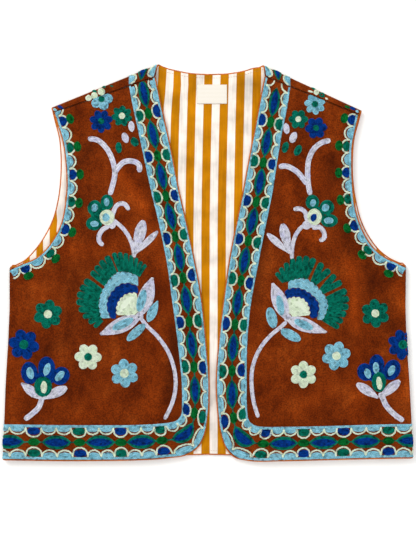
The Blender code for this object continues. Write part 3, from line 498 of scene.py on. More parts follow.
def column(table, side):
    """The x and y of one side from a table that has both."""
    return np.asarray(table, float)[:, 2 * side:2 * side + 2]


def smooth(t):
    """Rises from 0 to 1 with level ends."""
    t = np.clip(t, 0.0, 1.0)
    return t * t * (3 - 2 * t)


# How the cloth lies

def bend_radius(layer, turn):
    """Radius of a roll's middle: half a turn round the shoulder or a quarter at the side."""
    height = HEIGHTS[layer, "front"] - HEIGHTS[layer, "back"]
    return height / 2 if turn > 2 else (height - GAP) / 2


def fold_reach(turn):
    """How far the outermost cloth reaches past the line where a roll starts."""
    return bend_radius("velvet", turn) + VELVET / 2


def bend(past, radius, turn):
    """Cloth that goes past a bend's start: its distance in plan, its rise and its tilt."""
    tilt = np.clip(past / radius, 0.0, turn)
    beyond = np.maximum(past - radius * turn, 0.0)
    plan = np.where(past < 0, past, radius * np.sin(tilt) + beyond * math.cos(turn))
    rise = radius * (1 - np.cos(tilt)) + beyond * math.sin(turn)
    return plan, rise, tilt


def side_bend(y, side):
    """Where the roll at the side seam starts, at each height of the garment."""
    x, heights = column(SIDE_FOLD, side).T
    return np.interp(-np.asarray(y), -heights, x) - fold_reach(math.pi / 2)


def side_edge(y, side, layer):
    """Flat place of the side seam, after a quarter turn of cloth."""
    return side_bend(y, side) + bend_radius(layer, math.pi / 2) * math.pi / 2


def shoulder_frame(side):
    """The shoulder fold: its neck end, the way along it and the way past it."""
    start, end = column(SHOULDER_FOLD, side)
    along = (end - start) / np.hypot(*(end - start))
    return start, along, np.array([-along[1], along[0]])


def soft_fold(points, side):
    """Rise of a front's soft folds, which fade out towards the side seam."""
    total = np.zeros(len(points))
    for *stroke, width, height in SOFT_FOLDS[side]:
        t, away = beside(points, *stroke)
        total += height * (1 - (2 * t - 1) ** 2) * np.exp(-(away / width) ** 2)
    return total * smooth((side_bend(points[:, 1], side) - points[:, 0]) / 25.0)


def settle(points, side):
    """How a front sinks onto the back beside its opening, as a rise below nothing."""
    edge = column(OPEN_EDGE, side)[:13]
    from_edge = points[:, 0] - np.interp(-points[:, 1], -edge[:, 1], edge[:, 0])
    start, _, past = shoulder_frame(side)
    from_seam = -(points - start) @ past - fold_reach(math.pi)
    near_edge = 1 - smooth(from_edge / SETTLE_WIDTH)
    return -(AIR - GAP) * near_edge * smooth(from_seam / SEAM_HOLD)


def place_front(points, lift, side, layer):
    """Flat points of a front, put in place; lift is the distance above the middle of its wall."""
    x, y = points.T
    start = side_bend(y, side)
    plan, rise, tilt = bend(x - start, bend_radius(layer, math.pi / 2), math.pi / 2)
    z = HEIGHTS[layer, "front"] + settle(points, side) + soft_fold(points, side)
    return np.stack([
        OUTWARD[side] * (start + plan + lift * np.sin(tilt)), y, z - rise + lift * np.cos(tilt),
    ], axis=1)


def place_back(points, lift, layer):
    """Flat points of the back, with x from left to right, put in place; lift is outwards."""
    placed = np.zeros((len(points), 3))
    side_of = np.where(points[:, 0] < 0, LEFT, RIGHT)
    for side in SIDES:
        mine = side_of == side
        flat = points[mine] * (OUTWARD[side], 1.0)
        start, _, past = shoulder_frame(side)
        far = (flat - start) @ past + fold_reach(math.pi)
        plan, rise, tilt = bend(far, bend_radius(layer, math.pi), math.pi)
        moved = flat + (plan - far + lift[mine] * np.sin(tilt))[:, None] * past
        z = HEIGHTS[layer, "back"] + rise - lift[mine] * np.cos(tilt)
        seam = side_bend(flat[:, 1], side)
        plan, rise, tilt = bend(flat[:, 0] - seam, bend_radius(layer, math.pi / 2), math.pi / 2)
        rolled = (flat[:, 0] > seam) & (far < 0)
        moved[rolled, 0] = (seam + plan + lift[mine] * np.sin(tilt))[rolled]
        z[rolled] = (HEIGHTS[layer, "back"] + rise - lift[mine] * np.cos(tilt))[rolled]
        placed[mine] = np.column_stack([OUTWARD[side] * moved[:, 0], moved[:, 1], z])
    return placed


def unrolled_strap(points, side):
    """Flat places on the velvet back of points seen from above on its shoulder strap."""
    start, _, past = shoulder_frame(side)
    radius = bend_radius("velvet", math.pi)
    seen = (points - start) @ past + fold_reach(math.pi)
    over = math.pi - np.arcsin(np.clip(seen / fold_reach(math.pi), 0.0, 0.999))
    flat = np.where(seen > 0, radius * over, math.pi * radius - seen)
    moved = points + (flat - seen)[:, None] * past
    return moved * (OUTWARD[side], 1.0)


# Cutting lines

def side_seam(side, layer, low, high):
    """Flat points across the roll at the hem, up the side seam and back at the underarm."""
    arc = bend_radius(layer, math.pi / 2) * math.pi / 2
    rows = np.linspace(low + 3, high - UNDERARM_DROP, round((high - low) / EDGE_STEP))
    seam = [(side_bend(y, side) + arc, y) for y in rows]
    lines = []
    for k in range(ARC_STEPS):
        part = k / ARC_STEPS
        heights = [low + 0.6 * part, *rows[1:-3:2], high - UNDERARM_DROP * part]
        lines.append(np.array([(side_bend(y, side) + arc * part, y) for y in heights]))
    hem = [line[0] for line in lines]
    underarm = [line[-1] for line in lines[::-1]]
    return np.vstack([hem, seam, underarm]), lines


def front_outline(side, layer):
    """Flat outline of a front, its bend lines, and its two free edges."""
    inset = LINING_INSET if layer == "lining" else 0.0
    opening = shifted(curve(column(OPEN_EDGE, side), EDGE_STEP), inset)
    armhole = shifted(curve(column(FRONT_ARMHOLE, side), EDGE_STEP)[::-1], inset)
    past = shoulder_frame(side)[2]
    for point, end in ((opening[0], OPEN_EDGE), (armhole[-1], FRONT_ARMHOLE)):
        point -= (GAP + (point - column(end, side)[0]) @ past) * past
    seam, lines = side_seam(side, layer, opening[-1, 1], armhole[0, 1])
    edges = [np.vstack([opening, seam[:ARC_STEPS]]), np.vstack([seam[-ARC_STEPS:], armhole])]
    return np.vstack([opening, seam, armhole]), lines, edges


def strap_edge(turn, point, side, layer, inset):
    """An edge of the shoulder strap: a point at each facet of the fold, then its seam end."""
    start, along, past = shoulder_frame(side)
    arc = math.pi * bend_radius(layer, math.pi)
    seen = (point - start) @ past + fold_reach(math.pi)
    turned = start + turn * along - fold_reach(math.pi) * past
    end = start + (point - start) @ along * along + (arc - seen - fold_reach(math.pi)) * past
    shares = np.append(np.linspace(0, arc, 2 * ARC_STEPS + 1), arc - seen) / (arc - seen)
    return turned + shares[:, None] * (end - turned) + inset * along


def back_half(side, layer):
    """Flat outline of one half of the back from the middle of the neck, its bend lines, edges."""
    inset = LINING_INSET if layer == "lining" else 0.0
    length = np.hypot(*np.diff(column(SHOULDER_FOLD, side), axis=0)[0])
    along = shoulder_frame(side)[1]
    neck_end, arm_end = column(OPEN_EDGE, side)[0], column(FRONT_ARMHOLE, side)[0]
    strap_in = strap_edge(NECK_EDGE_START, neck_end, side, layer, inset)
    strap_out = strap_edge(length + TIP_EDGE_START, arm_end, side, layer, -inset)
    between = np.linspace(0, 1, round(length / EDGE_STEP / 1.5))[:, None]
    folds = [a + between * (b - a) for a, b in zip(strap_in, strap_out)]
    neck = curve([*column(BACK_NECK, side), strap_in[0] - inset * along], EDGE_STEP)
    neck = shifted(neck, -inset)[:-1]
    armhole = [strap_out[0] + inset * along, *column(BACK_ARMHOLE, side)]
    armhole = shifted(curve(armhole, EDGE_STEP), -inset)[1:]
    hem = shifted(curve(column(BACK_HEM, side), EDGE_STEP), -inset)
    neck[0, 0] = hem[-1, 0] = 0.0
    down, rolls = side_seam(side, layer, hem[0, 1], armhole[-1, 1])
    outline = [neck, strap_in, folds[-1][1:-1], strap_out[::-1], armhole, down[::-1], hem]
    edges = [
        np.vstack([neck, strap_in]),
        np.vstack([strap_out[::-1], armhole, down[:-ARC_STEPS - 1:-1]]),
        np.vstack([down[ARC_STEPS - 1::-1], hem]),
    ]
    return np.vstack(outline), [*folds[:-1], *rolls], edges


def back_outline(layer):
    """Flat outline of the whole back, its bend lines and its free edges."""
    (left, left_lines, left_edges), (right, right_lines, right_edges) = (
        back_half(side, layer) for side in SIDES
    )
    mirror = (-1.0, 1.0)
    lines = [line * mirror for line in left_lines] + right_lines
    edges = [
        np.vstack([left_edges[0][:0:-1] * mirror, right_edges[0]]),
        left_edges[1] * mirror, right_edges[1],
        np.vstack([left_edges[2][:-1] * mirror, right_edges[2][::-1]]),
    ]
    return np.vstack([right, left[-2:0:-1] * mirror])[::-1], lines, edges


# Flat geometry

def area(outline):
    """Area inside a closed outline, positive when it runs anticlockwise."""
    x, y = outline.T
    return (x * np.roll(y, -1) - np.roll(x, -1) * y).sum() / 2


def inside(points, outline):
    """Which points lie inside a closed outline."""
    found = np.zeros(len(points), bool)
    ax, ay = outline.T[:, None, :]
    bx, by = np.roll(outline, -1, axis=0).T[:, None, :]
    for first in range(0, len(points), 4000):
        x, y = points[first:first + 4000].T[:, :, None]
        with np.errstate(divide="ignore", invalid="ignore"):
            at = ax + (y - ay) * (bx - ax) / (by - ay)
        crossed = ((ay > y) != (by > y)) & (x < at)
        found[first:first + 4000] = crossed.sum(axis=1) % 2 == 1
    return found


def distance(points, path):
    """Distance from each point to a closed path."""
    run = np.roll(path, -1, axis=0) - path
    square = np.maximum((run ** 2).sum(axis=1), 1e-9)
    found = np.zeros(len(points))
    for first in range(0, len(points), 2000):
        offset = points[first:first + 2000, None] - path
        t = np.clip((offset * run).sum(axis=2) / square, 0, 1)
        away = offset - t[..., None] * run
        found[first:first + 2000] = np.sqrt((away ** 2).sum(axis=2).min(axis=1))
    return found


def inset(outline, width):
    """A closed outline moved inwards."""
    ahead = unit(np.roll(outline, -1, axis=0) - outline)
    behind = np.roll(ahead, 1, axis=0)
    inwards = np.stack([-ahead[:, 1] - behind[:, 1], ahead[:, 0] + behind[:, 0]], axis=1)
    inwards /= np.maximum(np.hypot(*inwards.T), 0.4)[:, None]
    return outline + width * math.copysign(1.0, area(outline)) * inwards


def triangulate(outline, lines, loops, grid):
    """Points and triangles that fill an outline, and which point is each of the outline's."""
    points, edges = [*outline], []
    for path, closed in [(line, False) for line in lines] + [(loop, True) for loop in loops]:
        first, count = len(points), len(path)
        points += [*path]
        edges += [(first + k, first + k + 1) for k in range(count - 1)]
        if closed:
            edges.append((first + count - 1, first))
    points += [*grid]
    border = [list(range(len(outline)))]
    found = delaunay_2d_cdt([Vector(point) for point in points], edges, border, 1, 1e-5)
    rim = {
        start: k for k, starts in enumerate(found[3]) for start in starts if start < len(outline)
    }
    return np.array([tuple(point) for point in found[0]]), [list(face) for face in found[2]], rim


def grid_inside(outline, spacing, clear):
    """Staggered points inside an outline, clear of its edge."""
    low, high = outline.min(axis=0), outline.max(axis=0)
    rows = np.arange(low[1] + spacing / 2, high[1], spacing)
    columns = np.arange(low[0] + spacing / 2, high[0], spacing)
    points = np.stack(np.meshgrid(columns, rows), axis=-1)
    points[1::2, :, 0] += spacing / 2
    points = points.reshape(-1, 2)
    points = points[inside(points, outline)]
    return points[distance(points, outline) > clear]


# Meshes

def new_piece(name, points, faces, material, slot):
    """A mesh piece from points in millimetres, riding on the garment."""
    mesh = bpy.data.meshes.new(name)
    mesh.from_pydata((np.asarray(points) * MM).tolist(), [], faces)
    mesh.validate()
    mesh.shade_smooth()
    mesh.materials.append(material)
    piece = bpy.data.objects.new(name, mesh)
    bpy.context.scene.collection.objects.link(piece)
    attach(piece, "root")
    return piece


def paint(piece, name, values):
    """Keeps one number at each point of a piece for its material."""
    piece.data.attributes.new(name, "FLOAT", "POINT").data.foreach_set("value", values)


def cloth(name, layer, outline, lines, spacing, place, material):
    """A panel of cloth with rounded edges: its outer face, its inner face and the rim."""
    half = THICKNESS[layer] / 2
    rounded = min(EDGE_ROUND, half * 1.8)
    rings = [inset(outline, rounded * share) for share in (0.12, 0.4, 1.0)]
    grid = grid_inside(outline, spacing, spacing * 0.6)
    outer, outer_faces, outer_rim = triangulate(outline, lines, rings, grid)
    inner, inner_faces, inner_rim = triangulate(outline, lines, rings[1:], grid[::2])
    lifts = []
    for points, face in ((outer, half), (inner, -half)):
        near = np.clip(distance(points, outline) / rounded, 0.0, 1.0)
        lifts.append(face * np.sqrt(1 - (1 - near) ** 2))
    shift = len(outer)
    weld = {shift + inner_rim[k]: outer_rim[k] for k in range(len(outline))}
    faces = outer_faces + [
        [weld.get(shift + k, shift + k) for k in face[::-1]] for face in inner_faces
    ]
    flat = np.vstack([outer, inner])
    points = place(flat, np.concatenate(lifts))
    used = np.unique(np.concatenate([np.asarray(face) for face in faces]))
    order = np.zeros(len(points), int)
    order[used] = np.arange(len(used))
    faces = [order[face].tolist() for face in faces]
    piece = new_piece(name, points[used], faces, material, layer)
    paint(piece, "across", flat[used, 0])
    paint(piece, "from_edge", distance(flat[used], outline))
    return piece


def tube(path, lift, place, across, up, sides, pointed=False):
    """A closed cord of flattened section along a flat path; returns its points and faces."""
    normal = left_of(unit(np.gradient(path, axis=0)))
    turn = np.arange(sides) * 2 * math.pi / sides
    size = np.ones(len(path))
    size[[0, -1]] = 0.35 if pointed else 0.85
    out = (np.cos(turn) * across)[None, :] * size[:, None]
    flat = path[:, None] + out[..., None] * normal[:, None]
    lifts = lift + (np.sin(turn) * up)[None, :] * size[:, None]
    points = place(flat.reshape(-1, 2), lifts.reshape(-1))
    count = len(path)
    faces = [
        [k * sides + j, (k + 1) * sides + j, (k + 1) * sides + (j + 1) % sides,
         k * sides + (j + 1) % sides]
        for k in range(count - 1) for j in range(sides)
    ]
    faces.append(list(range(sides)))
    faces.append(list(range((count - 1) * sides, count * sides))[::-1])
    return points, faces


def joined(parts):
    """Several meshes as one list of points and one of faces."""
    points, faces, first = [], [], 0
    for some, theirs in parts:
        points.append(some)
        faces += [[first + k for k in face] for face in theirs]
        first += len(some)
    return np.vstack(points), faces


# Outlines of the embroidery

def turned(angles, reach):
    """Points at these angles and distances from a middle."""
    return np.asarray(reach)[..., None] * np.stack([np.cos(angles), np.sin(angles)], axis=-1)


def oval(centre, half_width, half_length, tilt, points=20):
    """An oval whose length leans outwards from upright by the tilt, in degrees."""
    turn = np.arange(points) * 2 * math.pi / points
    across, along = half_width * np.cos(turn), half_length * np.sin(turn)
    s, c = math.sin(math.radians(tilt)), math.cos(math.radians(tilt))
    return np.asarray(centre) + np.stack([across * c + along * s, along * c - across * s], axis=1)


def leaf(base, tip, width, widest, points=12):
    """A leaf from base to tip, blunt where it is widest near its tip."""
    base, tip = np.asarray(base, float), np.asarray(tip, float)
    run = tip - base
    normal = np.array([-run[1], run[0]]) / np.hypot(*run)
    t = np.linspace(0, 1, points)
    bulge = t ** (math.log(0.5) / math.log(widest))
    blunt = 0.5 if widest >= 0.6 else 0.8
    half = (width / 2 * np.sin(math.pi * np.clip(bulge, 0.03, 0.97)) ** blunt)[:, None]
    middle = base + t[:, None] * run
    return np.vstack([middle - half * normal, (middle + half * normal)[::-1]])


def ribbon(path, width, step=3.0):
    """A band of one width along a path, with narrower ends."""
    middle = curve(path, step)
    half = np.full(len(middle), width / 2)
    half[[0, -1]] *= 0.6
    sides = [shifted(middle, 1.0) - middle, shifted(middle, -1.0) - middle]
    return np.vstack([middle + half[:, None] * sides[1], (middle + half[:, None] * sides[0])[::-1]])


def rosette_shapes(x, y, radius, petals, first, petal_colour, heart_colour, heart):
    """Round petals about a middle disc."""
    centre = np.array([x, y])
    half_width = radius * math.sin(math.pi / petals) * 0.74
    shapes = []
    for k in range(petals):
        angle = math.radians(first + 360 * k / petals)
        middle = centre + turned(angle, radius * 0.60)
        petal = oval(middle, half_width, radius * 0.42, 90 - math.degrees(angle), 16)
        shapes.append((petal_colour, petal, 0))
    return [*shapes, (heart_colour, oval(centre, radius * heart, radius * heart, 0, 16), 1)]


def fan_shapes(side):
    """The feathered flower: long green fingers behind three scalloped rings."""
    hub = column(FAN_HUB[None], side)[0]

    def reach(low, high, radii, angles):
        """Radius at each angle, on a smooth curve through the radii given between two angles."""
        angles = np.atleast_1d(np.clip(angles, low, high)).astype(float)
        knots = np.linspace(low, high, len(radii))
        return hermite(np.array(radii)[:, None], knots, angles)[:, 0]

    def scalloped(low, high, radii, scallops, angles):
        """The same, drawn in between one scallop and the next."""
        share = (angles - low) / (high - low)
        wave = SCALLOP_DEPTH * (1 - np.abs(np.sin(math.pi * scallops * share)) ** 0.7)
        return reach(low, high, radii, angles) - np.where((share < 0) | (share > 1), 0, wave)

    shapes, last_ring = [], None
    for colour, *ring in FAN_RINGS[side]:
        angles = np.linspace(ring[0], ring[1], 6 * ring[3] + 1)
        outer = turned(np.radians(angles), scalloped(*ring, angles))
        back = angles[::-2]
        inner = scalloped(*last_ring, back) + 0.3 if last_ring else np.full(len(back), FAN_ROOT)
        shapes.append((colour, hub + np.vstack([outer, turned(np.radians(back), inner)]), 0))
        last_ring = ring
    groups = FINGERS[side]
    limits = (groups[0][0], groups[-1][1], FINGER_REACH[side])
    for first, last, count, gathered, slim in groups:
        for angle in np.linspace(first, last, count):
            tip = reach(*limits, angle)[0]
            half = slim * math.radians((last - first) / (count - 1)) / 2
            wide = half * tip * 0.92
            from_middle = 2 * (angle - groups[0][0]) / (groups[-1][1] - groups[0][0]) - 1
            root_angle = (first + last) / 2 * (1 - gathered) + angle * gathered
            root_angle -= FINGER_LEAN * from_middle ** 3
            start = reach(*last_ring[:3], root_angle)[0] - 1.0
            root = hub + turned(math.radians(root_angle), start)
            ahead = hub + turned(math.radians(angle), tip) - root
            length = np.hypot(*ahead)
            ahead = ahead / length
            sides = np.linspace(0, length - wide * 0.9, 4)
            across = np.minimum(half * (start + sides) * 1.08, wide) - 0.15
            cap = np.linspace(0, math.pi, 9)
            along = np.concatenate([
                sides, length - wide * 0.9 * (1 - np.sin(cap[1:-1])), sides[::-1],
            ])
            aside = np.concatenate([across, wide * np.cos(cap[1:-1]), -across[::-1]])
            finger = root + along[:, None] * ahead + aside[:, None] * (ahead[1], -ahead[0])
            shapes.append(("dark_green", finger, 0))
    shapes.append(("lavender", oval(hub, FAN_HEART, FAN_HEART, 0), 1))
    return shapes


def border_frame(side):
    """A function from distance along the border and share of its width to flat points."""
    edge = column(OPEN_EDGE, side)
    slide = np.zeros(len(edge))
    slide[13:16] = CORNER_SLIDE[side]
    outer, inner = (
        np.vstack([line, line[-1] + (BORDER_RUN_ON, 0.0)])
        for line in (hermite(edge, lengths(edge), lengths(edge) + slide), column(BORDER_INNER, side))
    )
    knots = lengths((outer + inner) / 2)

    def at(along, share):
        """Flat points at distances along the border and shares of its width."""
        along, share = np.broadcast_arrays(np.asarray(along, float), np.asarray(share, float))
        flat_along, share = along.ravel(), share.ravel()[:, None]
        return hermite(outer, knots, flat_along) * (1 - share) + hermite(inner, knots, flat_along) * share

    return at, knots[-1]


def frame_oval(at, along, share, half_length, half_width):
    """An oval that stands across a border, at a place along it and a share or depth inwards."""
    centre, ahead = at([along, along + 1.0], share)
    tilt = math.degrees(math.atan2(*(ahead - centre)))
    return oval(centre, half_width, half_length, tilt)


def bump(t, power=0.55):
    """Rises from 0 to 1 and falls back, flatter on top for a lower power."""
    return np.sin(math.pi * np.clip(t, 0, 1)) ** power


def counted(share, from_inner):
    """A share of the border's width, or the same counted from its inner edge."""
    return 1 + BORDER_RIM - share if from_inner else share


def border_shapes(side, at, start, end):
    """Rails, scallops, ovals and lozenges of the border, and the paths and colours of its ropes."""
    rows = np.arange(start, end + 3, 3.0).clip(start, end)
    root = BORDER_RIM + RAIL
    shapes, ropes = [], []
    for from_inner in (False, True):
        rail = np.vstack([
            at(rows, counted(BORDER_RIM, from_inner)), at(rows[::-1], counted(root, from_inner)),
        ])
        shapes.append(("light_blue", rail, 0))
    marks = BORDER_MARKS[side]
    for index, (mark, after) in enumerate(zip(marks, marks[1:])):
        third = (after - mark) / 3
        for arc, middle in enumerate((mark, mark + third, mark + 2 * third)):
            crest = OVAL_CREST if arc == 0 else SCALLOP_CREST
            t = np.linspace(0, 1, 15)
            along = middle + (t - 0.5) * third
            keep = (along >= start) & (along <= end)
            if keep.sum() < 3:
                continue
            along, t = along[keep], t[keep]
            for from_inner in (False, True):
                rope = root + 0.005 + (crest - root) * bump(t, 0.45 if arc else 0.32)
                ropes.append(("cream", at(along, counted(rope, from_inner))))
                if arc:
                    fill = root - 0.01 + (crest - root - 0.042) * bump(t, 0.38)
                    body = np.vstack([
                        at(along[1:-1], counted(fill, from_inner)[1:-1]),
                        at(along[-2:0:-1], counted(root - 0.02, from_inner)),
                    ])
                    shapes.append(("light_blue", body, 0))
        middle = (mark + after) / 2
        t = np.linspace(-1, 1, 15)
        if start + 6 < middle < end + 12:
            for (length, width), colour, level in (
                (LOZENGE, "dark_green", 0), (LOZENGE_HEART, "navy", 1),
            ):
                along = (middle + length * t).clip(start, end)
                half = width * (1 - np.abs(t) ** 2.5)
                middle_share = 0.5 + BORDER_RIM / 2
                shape = np.vstack([
                    at(along, middle_share - half), at(along[-2:0:-1], middle_share + half[-2:0:-1]),
                ])
                shapes.append((colour, shape, level))
            for low, high in (
                (mark + MIDDLE_OVAL[0] - 1, middle - LOZENGE[0] + 2),
                (middle + LOZENGE[0] - 2, after - MIDDLE_OVAL[0] + 1),
            ):
                low, high = max(low, start), min(high, end)
                if high - low > 2:
                    line = at(np.linspace(low, high, 4), MIDDLE_CENTRE)
                    ropes.append(("dark_green", line))
        if start + 4 < mark < end - 4:
            names = {"n": "navy", "g": "dark_green"}
            outer, inner = names[OUTER_OVALS[side][index]], names[INNER_OVALS[side][index]]
            shapes.append((outer, frame_oval(at, mark, OVAL_CENTRE, *SIDE_OVAL), 0))
            inner_centre = counted(OVAL_CENTRE, True)
            shapes.append((inner, frame_oval(at, mark, inner_centre, *SIDE_OVAL), 0))
            shapes.append(("leaf_green", frame_oval(at, mark, MIDDLE_CENTRE, *MIDDLE_OVAL), 0))
    return shapes, ropes


def armhole_shapes(side):
    """Rail, scallops and ovals along the armhole, and the paths of its cream ropes."""
    seam_end = column(FRONT_ARMHOLE, side)[-1:] + (ARMHOLE_RUN_ON, -UNDERARM_DROP)
    edge = curve(np.vstack([seam_end, column(FRONT_ARMHOLE, side)[::-1]]), 2.0)
    knots = lengths(edge)
    inwards = left_of(np.gradient(edge, knots, axis=0))

    def at(place, depth):
        """Flat points at places along the armhole and depths from its edge."""
        place, depth = np.broadcast_arrays(np.asarray(place, float), np.asarray(depth, float))
        place, depth = place.ravel(), depth.ravel()[:, None]
        return read_along(edge, knots, place) + depth * read_along(inwards, knots, place)

    start, end = 0.8, knots[-1] - 0.8
    rim, root = ARMHOLE_RIM
    rows = np.arange(start, end + 3, 3.0).clip(start, end)
    shapes = [("light_blue", np.vstack([at(rows, rim), at(rows[::-1], root)]), 0)]
    ropes = []
    repeat = ARMHOLE_REPEAT[side]
    marks = np.arange(ARMHOLE_START[side] - repeat, knots[-1] + repeat, repeat)
    t = np.linspace(0, 1, 13)
    for index, mark in enumerate(marks):
        along = mark + ARMHOLE_FOOT + (repeat - 2 * ARMHOLE_FOOT) * t
        keep = (along > start) & (along < end)
        if keep.sum() > 2:
            depth = root + 0.3 + (ARMHOLE_CREST - root) * bump(t)
            ropes.append(("cream", at(along[keep], depth[keep])))
            fill = root - 0.5 + (ARMHOLE_CREST - root - 2.0) * bump(t, 0.45)
            places = (along + (mark + repeat / 2 - along) * 0.16)[keep]
            body = np.vstack([at(places, fill[keep]), at(places[::-1], root - 0.8)])
            shapes.append(("light_blue", body, 0))
        for turn in (-1, 1):
            along = mark + turn * (ARCH_TOP + ARCH_SPREAD * (1 - t ** 2.6) ** 0.6)
            keep = (along > start) & (along < end)
            if keep.sum() > 2:
                depth = root + 0.3 + ARCH_HEIGHT * t
                ropes.append(("cream", at(along[keep], depth[keep])))
        if start - 2 < mark < end + 2:
            for colour in (("dark_green", "navy")[index % 2], "leaf_green"):
                depth, half_width, half_length = ARMHOLE_OVALS[colour]
                shapes.append((colour, frame_oval(at, mark, depth, half_length, half_width), 0))
    return shapes, ropes


def strap_shapes(side):
    """What crosses the shoulder seam: the border's end, parts of a flower and the arm rail."""
    neck_seam, neck_fold = column(OPEN_EDGE, side)[0], column(SHOULDER_FOLD, side)[0]
    inner_seam, inner_fold = column(BORDER_INNER, side)[0], np.array(BORDER_FOLD[side])
    past = shoulder_frame(side)[2]

    def at(up, share):
        """Flat points between seam and fold, at shares of the border's width."""
        up, share = np.broadcast_arrays(np.asarray(up, float), np.asarray(share, float))
        up, share = up.ravel()[:, None], share.ravel()[:, None]
        outer = neck_seam + (0.8 * past) + up * (neck_fold - neck_seam - 0.8 * past)
        inner = inner_seam + (0.8 * past) + up * (inner_fold - inner_seam - 0.8 * past)
        return outer * (1 - share) + inner * share

    up = np.linspace(0, 1, 8)
    t = np.linspace(0, 1, 9)
    shapes, ropes = [], []
    for from_inner in (False, True):
        rim, root, low = (counted(share, from_inner) for share in (BORDER_RIM + 0.01, 0.13, 0.11))
        shapes.append(("light_blue", np.vstack([at(up, rim), at(up[::-1], root)]), 0))
        crest = counted(0.12 + 0.15 * bump(t, 0.45), from_inner)
        body = np.vstack([at(0.08 + 0.84 * t, crest), at(0.92 - 0.84 * t, low)])
        shapes.append(("light_blue", body, 0))
        rope = counted(0.13 + 0.18 * bump(t), from_inner)
        ropes.append(("cream", at(0.02 + 0.96 * t, rope)))
    for length, width, colour, level in ((0.96, 0.175, "dark_green", 0), (0.80, 0.095, "navy", 1)):
        half = width * t ** 0.55
        lozenge = np.vstack([
            at(1.0 - length * (1 - t), MIDDLE_CENTRE - half),
            at(1.0 - length * t, MIDDLE_CENTRE + half[::-1]),
        ])
        shapes.append((colour, lozenge, level))
    for x, y, half_width, half_length, tilt, colour in STRAP_BITS[side]:
        shapes.append((colour, oval((x, y), half_width, half_length, tilt, 12), 0))
    return shapes, ropes


# Working the embroidery

def stitch_rows(outline):
    """Paths of the rows that follow an outline, one inside the other."""
    dense = evenly(outline, TRACE_STEP, closed=True)
    rows = []
    for row in range(40):
        depth = FIRST_ROW + row * ROW_SPACING
        ring = inset(dense, depth)
        kept = inside(ring, dense)
        if kept.any():
            kept[kept] = distance(ring[kept], dense) > depth * 0.93
        if not kept.any():
            break
        if kept.all():
            rows.append(np.vstack([ring, ring[:1]]))
            continue
        first = np.flatnonzero(~kept)[0]
        ring, kept = np.roll(ring, -first, axis=0), np.roll(kept, -first)
        ends = np.flatnonzero(np.diff(np.concatenate([[0], kept.astype(int), [0]])))
        rows += [ring[a:b] for a, b in zip(ends[::2], ends[1::2]) if b - a > 1]
    return rows


def stitches_along(path):
    """Middle and direction of each chain stitch along a path."""
    knots = lengths(path)
    count = int(round(knots[-1] / STITCH_PITCH))
    if count < 1:
        return np.zeros((0, 2)), np.zeros((0, 2))
    at = (np.arange(count) + 0.5) * knots[-1] / count
    ahead, behind = read_along(path, knots, at + 0.4), read_along(path, knots, at - 0.4)
    return read_along(path, knots, at), unit(ahead - behind)


def loop_template():
    """One chain stitch: a closed loop of yarn, narrow where it comes out of the last one."""
    segments, sides = LOOP_SEGMENTS, len(YARN_SIDES)
    turn = np.arange(segments) * 2 * math.pi / segments
    run = -np.cos(turn) * STITCH_LENGTH / 2
    spread = np.sin(turn) * STITCH_WIDTH / 2 * (0.85 - 0.3 * np.cos(turn))
    height = 0.22 - 0.5 * (run / STITCH_LENGTH) ** 2
    out = np.stack([-np.cos(turn) * 0.8, np.sin(turn)], axis=1)
    out /= np.hypot(*out.T)[:, None]
    points = []
    for k in range(segments):
        for sideways, up in YARN_SIDES:
            points.append((
                run[k] + sideways * YARN * out[k, 0], spread[k] + sideways * YARN * out[k, 1],
                height[k] + up * YARN,
            ))
    faces = [
        (k * sides + j, (k + 1) % segments * sides + j,
         (k + 1) % segments * sides + (j + 1) % sides, k * sides + (j + 1) % sides)
        for k in range(segments) for j in range(sides)
    ]
    return np.array(points), np.array(faces)


LOOP_POINTS, LOOP_FACES = loop_template()


def stitch_tone_and_shade(count):
    """Painted shade of each of so many stitches, with random tone: most a little, one in eight pulled in
    deep and darker.
    """
    depth = np.abs(rng.normal(0.0, 0.34, count))
    deep = rng.random(count) < 0.12
    depth[deep] = rng.uniform(0.9, 1.6, deep.sum())
    return np.repeat(depth, len(LOOP_POINTS))


def chain_mesh(middles, directions, lifts, place, wide=1.0):
    """Chain stitches at the places given, as one list of points and faces."""
    count = len(middles)
    stretch = rng.uniform(0.93, 1.07, (count, 1))
    twist = rng.normal(0, 0.14, count)
    c, s = np.cos(twist), np.sin(twist)
    directions = np.stack([
        directions[:, 0] * c - directions[:, 1] * s, directions[:, 0] * s + directions[:, 1] * c,
    ], axis=1)
    middles = middles + rng.normal(0, 0.14, (count, 2))
    normals = left_of(directions)
    run = LOOP_POINTS[None, :, 0] * stretch
    spread = LOOP_POINTS[None, :, 1] * stretch * wide
    flat = (middles[:, None] + run[..., None] * directions[:, None]
            + spread[..., None] * normals[:, None])
    lift = lifts[:, None] + LOOP_POINTS[None, :, 2]
    points = place(flat.reshape(-1, 2), lift.reshape(-1))
    faces = LOOP_FACES[None] + np.arange(count)[:, None, None] * len(LOOP_POINTS)
    return points, faces.reshape(-1, 4).tolist()


